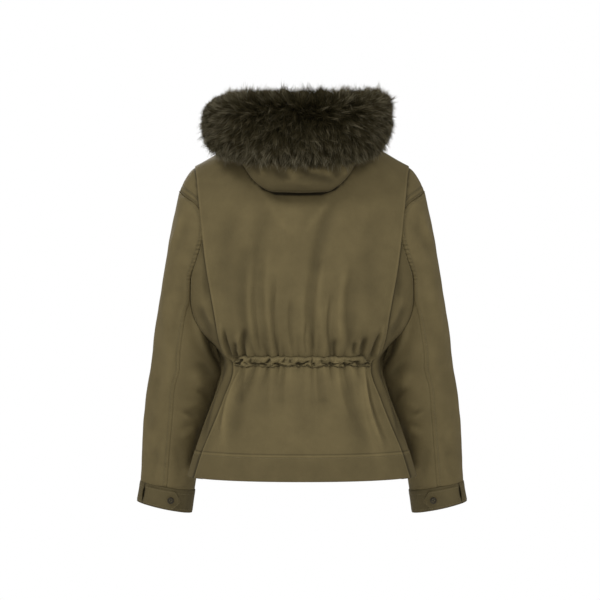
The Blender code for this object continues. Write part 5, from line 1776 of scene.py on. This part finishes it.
class PARKA_OT_fur(bpy.types.Operator):
    """Thick fur band: a dark wool body, and locks that flow away from the parting"""

    bl_idname = "parka.fur"
    bl_label = "Fur trim"

    def emitter(self, size):
        """The band's under surface, with what the hair needs to know at each point."""
        points, ways, a = fur_rings(FUR_RINGS, FUR_SIDES, size)
        points = fur_shape(rounded_ends(points, ways, FUR_END * size))
        ways = np.pad(ways, ((FUR_END_RINGS, FUR_END_RINGS), (0, 0)), mode="edge")
        along = np.roll(points, -1, axis=1) - np.roll(points, 1, axis=1)
        normal = unit(np.cross(along, np.gradient(points, axis=0)))
        centre = points.mean(axis=1, keepdims=True)
        wrong = np.sum(normal * (points - centre), axis=-1, keepdims=True) < 0
        normal = np.where(wrong, -normal, normal)
        around = unit(along)
        degrees = (np.degrees(a) - FUR_PARTING + 180.0) % 360.0 - 180.0
        turn = np.tanh(degrees / 24.0)[None, :, None]
        x, y, z = np.moveaxis(points, -1, 0)
        sweep = (0.02 + 0.8 * ease(np.abs(x), 0.0, 150.0)[..., None]) * ways[:, None]
        stand = 0.60 + 0.5 * (1 - np.abs(turn))
        stray = [drift(points / 1000.0 @ np.array(rates), seed)[..., None] for rates, seed in FUR_STRAY]
        stray = 0.3 * (stray[0] * ways[:, None] + stray[1] * around)
        flow = unit(around * turn + normal * stand + sweep + stray)
        length, shade = fur_length(x, y, z), fur_shade(x, y, z)
        return points, {"flow": flow, "outward": normal, "length": length, "shade": shade}

    def execute(self, context):
        look = context.scene.parka_fur
        points, fields = self.emitter(look.body_share)
        faces = grid_faces(*points.shape[:2], True)
        cross = np.cross(points[0, 1] - points[0, 0], points[1, 0] - points[0, 0])
        if cross @ fields["outward"][0, 0] < 0:
            faces = faces[:, ::-1]
        wool = plain_finish("fur_wool", look.wool, 0.95, 220.0, 0.5, 0.1)
        body = smooth_object("fur_wool_body", points, faces, wool)
        for name, values in fields.items():
            set_field(body.data, name, values)
        area = sum(face.area for face in body.data.polygons)
        hair = fur_finish("fur_hair", look.root, look.middle, look.tip, look.pale)
        kinds = bpy.data.collections.new("fur_locks")
        for k in range(look.lock_kinds):
            lock = lock_mesh(f"lock_{k}", look.seed + k, look.strands, hair, look.strand_width)
            kinds.objects.link(lock)
        for layer in range(look.layers):
            piece = placed(f"fur_hair_{layer + 1}", body.data.copy())
            run_nodes(piece, fur_tree(), {
                "Locks": kinds,
                "Density": look.locks / look.layers / area,
                "Length": look.length * (0.86 + 0.07 * layer),
                "Unevenness": 0.5,
                "Seed": look.seed + 10 * layer,
                "Finish": hair,
            })
            dress(piece, "dark_olive_fur", *(["fur_trim"] if layer == 0 else []))
        for lock in list(kinds.objects):
            bpy.data.objects.remove(lock, do_unlink=True)
        bpy.data.collections.remove(kinds)
        for name in fields:
            body.data.attributes.remove(body.data.attributes[name])
        dress(body, "dark_olive_fur")
        return {"FINISHED"}


# ---- stage ----
class PARKA_OT_stage(bpy.types.Operator):
    """Pale floor below a wearer's feet, white surroundings, soft lights and the camera"""

    bl_idname = "parka.stage"
    bl_label = "Stage"

    def execute(self, context):
        stage = context.scene.parka_stage
        bpy.ops.mesh.primitive_circle_add(
            vertices=96, radius=FLOOR_RADIUS, fill_type="NGON", location=(0, 0, stage.floor)
        )
        floor = context.object
        floor.name = "floor"
        floor.data.materials.append(plain_finish("pale_floor", (0.82, 0.82, 0.82), 0.9, 2.0, 0.02, 0.1))
        world = context.scene.world = bpy.data.worlds.new("studio")
        world.use_nodes = True
        nodes = world.node_tree.nodes
        seen = nodes["Background"]
        seen.inputs["Color"].default_value = (1, 1, 1, 1)
        seen.inputs["Strength"].default_value = 1.0
        build(
            world.node_tree,
            {
                "glow": ("Background", {"Color": (1.0, 0.99, 0.96, 1), "Strength": stage.ambient}),
                "path": "LightPath",
                "both": "MixShader",
            },
            "path.Is Camera Ray > both.Fac; glow.0 > both.1; seen.0 > both.2; both.0 > out.Surface",
            seen=seen,
            out=nodes["World Output"],
        )
        for name, place, size, power in LIGHTS:
            lamp = bpy.data.lights.new(name, "AREA")
            lamp.shape = "DISK"
            lamp.size = size
            lamp.energy = stage.key * power
            obj = placed(name, lamp)
            obj.location = place
            aim = Vector((0, 0, -0.3)) - Vector(place)
            obj.rotation_euler = aim.to_track_quat("-Z", "Y").to_euler()
        camera = bpy.data.cameras.new("camera")
        camera.lens = camera.sensor_width * stage.distance / stage.view_width
        eye = context.scene.camera = placed("camera", camera)
        eye.location = (VIEW_X, stage.distance, VIEW_Z)
        eye.rotation_euler = (math.radians(90), 0, math.radians(180))
        context.scene.view_settings.view_transform = "Standard"
        return {"FINISHED"}


# ---- settings ----
def a_colour(name, words, default):
    return bpy.props.FloatVectorProperty(
        name=name, description=words, subtype="COLOR", size=3, min=0.0, max=1.0, default=default
    )


def a_number(name, words, default, **limits):
    return bpy.props.FloatProperty(name=name, description=words, default=default, **limits)


def a_length(name, words, default):
    return a_number(name, words, default, unit="LENGTH", min=0.0, precision=5)


def a_share(name, words, default):
    return a_number(name, words, default, subtype="FACTOR", min=0.0, max=1.0)


def a_count(name, words, default):
    return bpy.props.IntProperty(name=name, description=words, default=default, min=1)


class ParkaCloth(bpy.types.PropertyGroup):
    """The olive gabardine"""

    colour: a_colour("Cloth", "Colour of the main cloth", (0.152, 0.1185, 0.0540))
    # darker than the cloth's own colour: painted shade for the low cuffs and tabs and the crumpled casing
    trim_colour: a_colour("Trim", "Colour of cuffs, tabs and casing", (0.127, 0.100, 0.0465))
    twill_size: a_length("Twill", "Width of one diagonal rib", 0.0011)
    roughness: a_share("Roughness", "Roughness of the cloth", 0.82)
    sheen: a_share("Sheen", "Soft glow of the nap at grazing light", 0.06)


class ParkaStitches(bpy.types.PropertyGroup):
    """The topstitching"""

    colour: a_colour("Thread", "Colour of the thread", (0.20, 0.165, 0.088))
    pitch: a_length("Pitch", "Distance from one stitch to the next", 0.0034)
    length: a_length("Length", "Length of one stitch", 0.0024)
    thickness: a_length("Thickness", "Thickness of the thread", 0.0007)


class ParkaButtons(bpy.types.PropertyGroup):
    """The buttons"""

    colour: a_colour("Button", "Colour of the buttons", (0.031, 0.025, 0.014))
    roughness: a_share("Roughness", "Roughness of the buttons", 0.45)


class ParkaFur(bpy.types.PropertyGroup):
    """The fur trim"""

    wool: a_colour("Wool", "Colour deep inside the fur", (0.012, 0.0098, 0.0045))
    root: a_colour("Root", "Colour of a dark hair's root", (0.0098, 0.0080, 0.0030))
    middle: a_colour("Middle", "Colour along the hair", (0.0265, 0.0213, 0.0082))
    tip: a_colour("Tip", "Colour of most tips", (0.073, 0.0595, 0.0305))
    pale: a_colour("Pale tip", "Colour of the lightest tips", (0.240, 0.212, 0.145))
    length: a_length("Length", "Length of the longest locks", 0.031)
    strand_width: a_length("Hair", "Width of one strand at its root", 0.0009)
    body_share: a_share("Body", "Size of the body under the hair, as a share of the band", 0.73)
    locks: a_count("Locks", "Number of locks", 12400)
    strands: a_count("Strands", "Strands in a lock", 12)
    layers: a_count("Layers", "Pieces the hair is made in", 4)
    lock_kinds: a_count("Kinds", "Different locks", 12)
    seed: bpy.props.IntProperty(name="Seed", description="Seed of everything random", default=11)


class ParkaStage(bpy.types.PropertyGroup):
    """The stage"""

    floor: a_number("Floor", "Height of the floor", -1.45, unit="LENGTH")
    distance: a_length("Distance", "From the camera to the coat's middle", 3.2)
    view_width: a_length("View", "Width of what the camera sees at the coat", 1.11)
    key: a_number("Key light", "Power of the key light", 64.0, unit="POWER", min=0.0)
    ambient: a_number("Ambient", "Strength of the light all round", 0.42, min=0.0)


GROUPS = {
    "parka_cloth": ParkaCloth,
    "parka_stitches": ParkaStitches,
    "parka_buttons": ParkaButtons,
    "parka_fur": ParkaFur,
    "parka_stage": ParkaStage,
}
OPERATORS = (
    PARKA_OT_back,
    PARKA_OT_casing,
    PARKA_OT_side_backs,
    PARKA_OT_fronts,
    PARKA_OT_placket,
    PARKA_OT_sleeves,
    PARKA_OT_cuffs,
    PARKA_OT_buttons,
    PARKA_OT_hood,
    PARKA_OT_fur,
    PARKA_OT_stage,
)


class PARKA_PT_panel(bpy.types.Panel):
    """Every setting and every step, in order"""

    bl_idname = "PARKA_PT_panel"
    bl_label = "Fur-trimmed parka"
    bl_space_type = "VIEW_3D"
    bl_region_type = "UI"
    bl_category = "Parka"

    def draw(self, context):
        for name, group in GROUPS.items():
            box = self.layout.box()
            box.label(text=group.__doc__)
            for key in group.__annotations__:
                box.prop(getattr(context.scene, name), key)
        for step in OPERATORS:
            self.layout.operator(step.bl_idname)


def register():
    for name, group in GROUPS.items():
        bpy.utils.register_class(group)
        setattr(bpy.types.Scene, name, bpy.props.PointerProperty(type=group))
    for step in (*OPERATORS, PARKA_PT_panel):
        bpy.utils.register_class(step)


def unregister():
    for step in (PARKA_PT_panel, *reversed(OPERATORS)):
        bpy.utils.unregister_class(step)
    for name, group in GROUPS.items():
        delattr(bpy.types.Scene, name)
        bpy.utils.unregister_class(group)


def main():
    register()
    for step in OPERATORS:
        group, name = step.bl_idname.split(".")
        getattr(getattr(bpy.ops, group), name)()


if __name__ == "__main__":
    main()
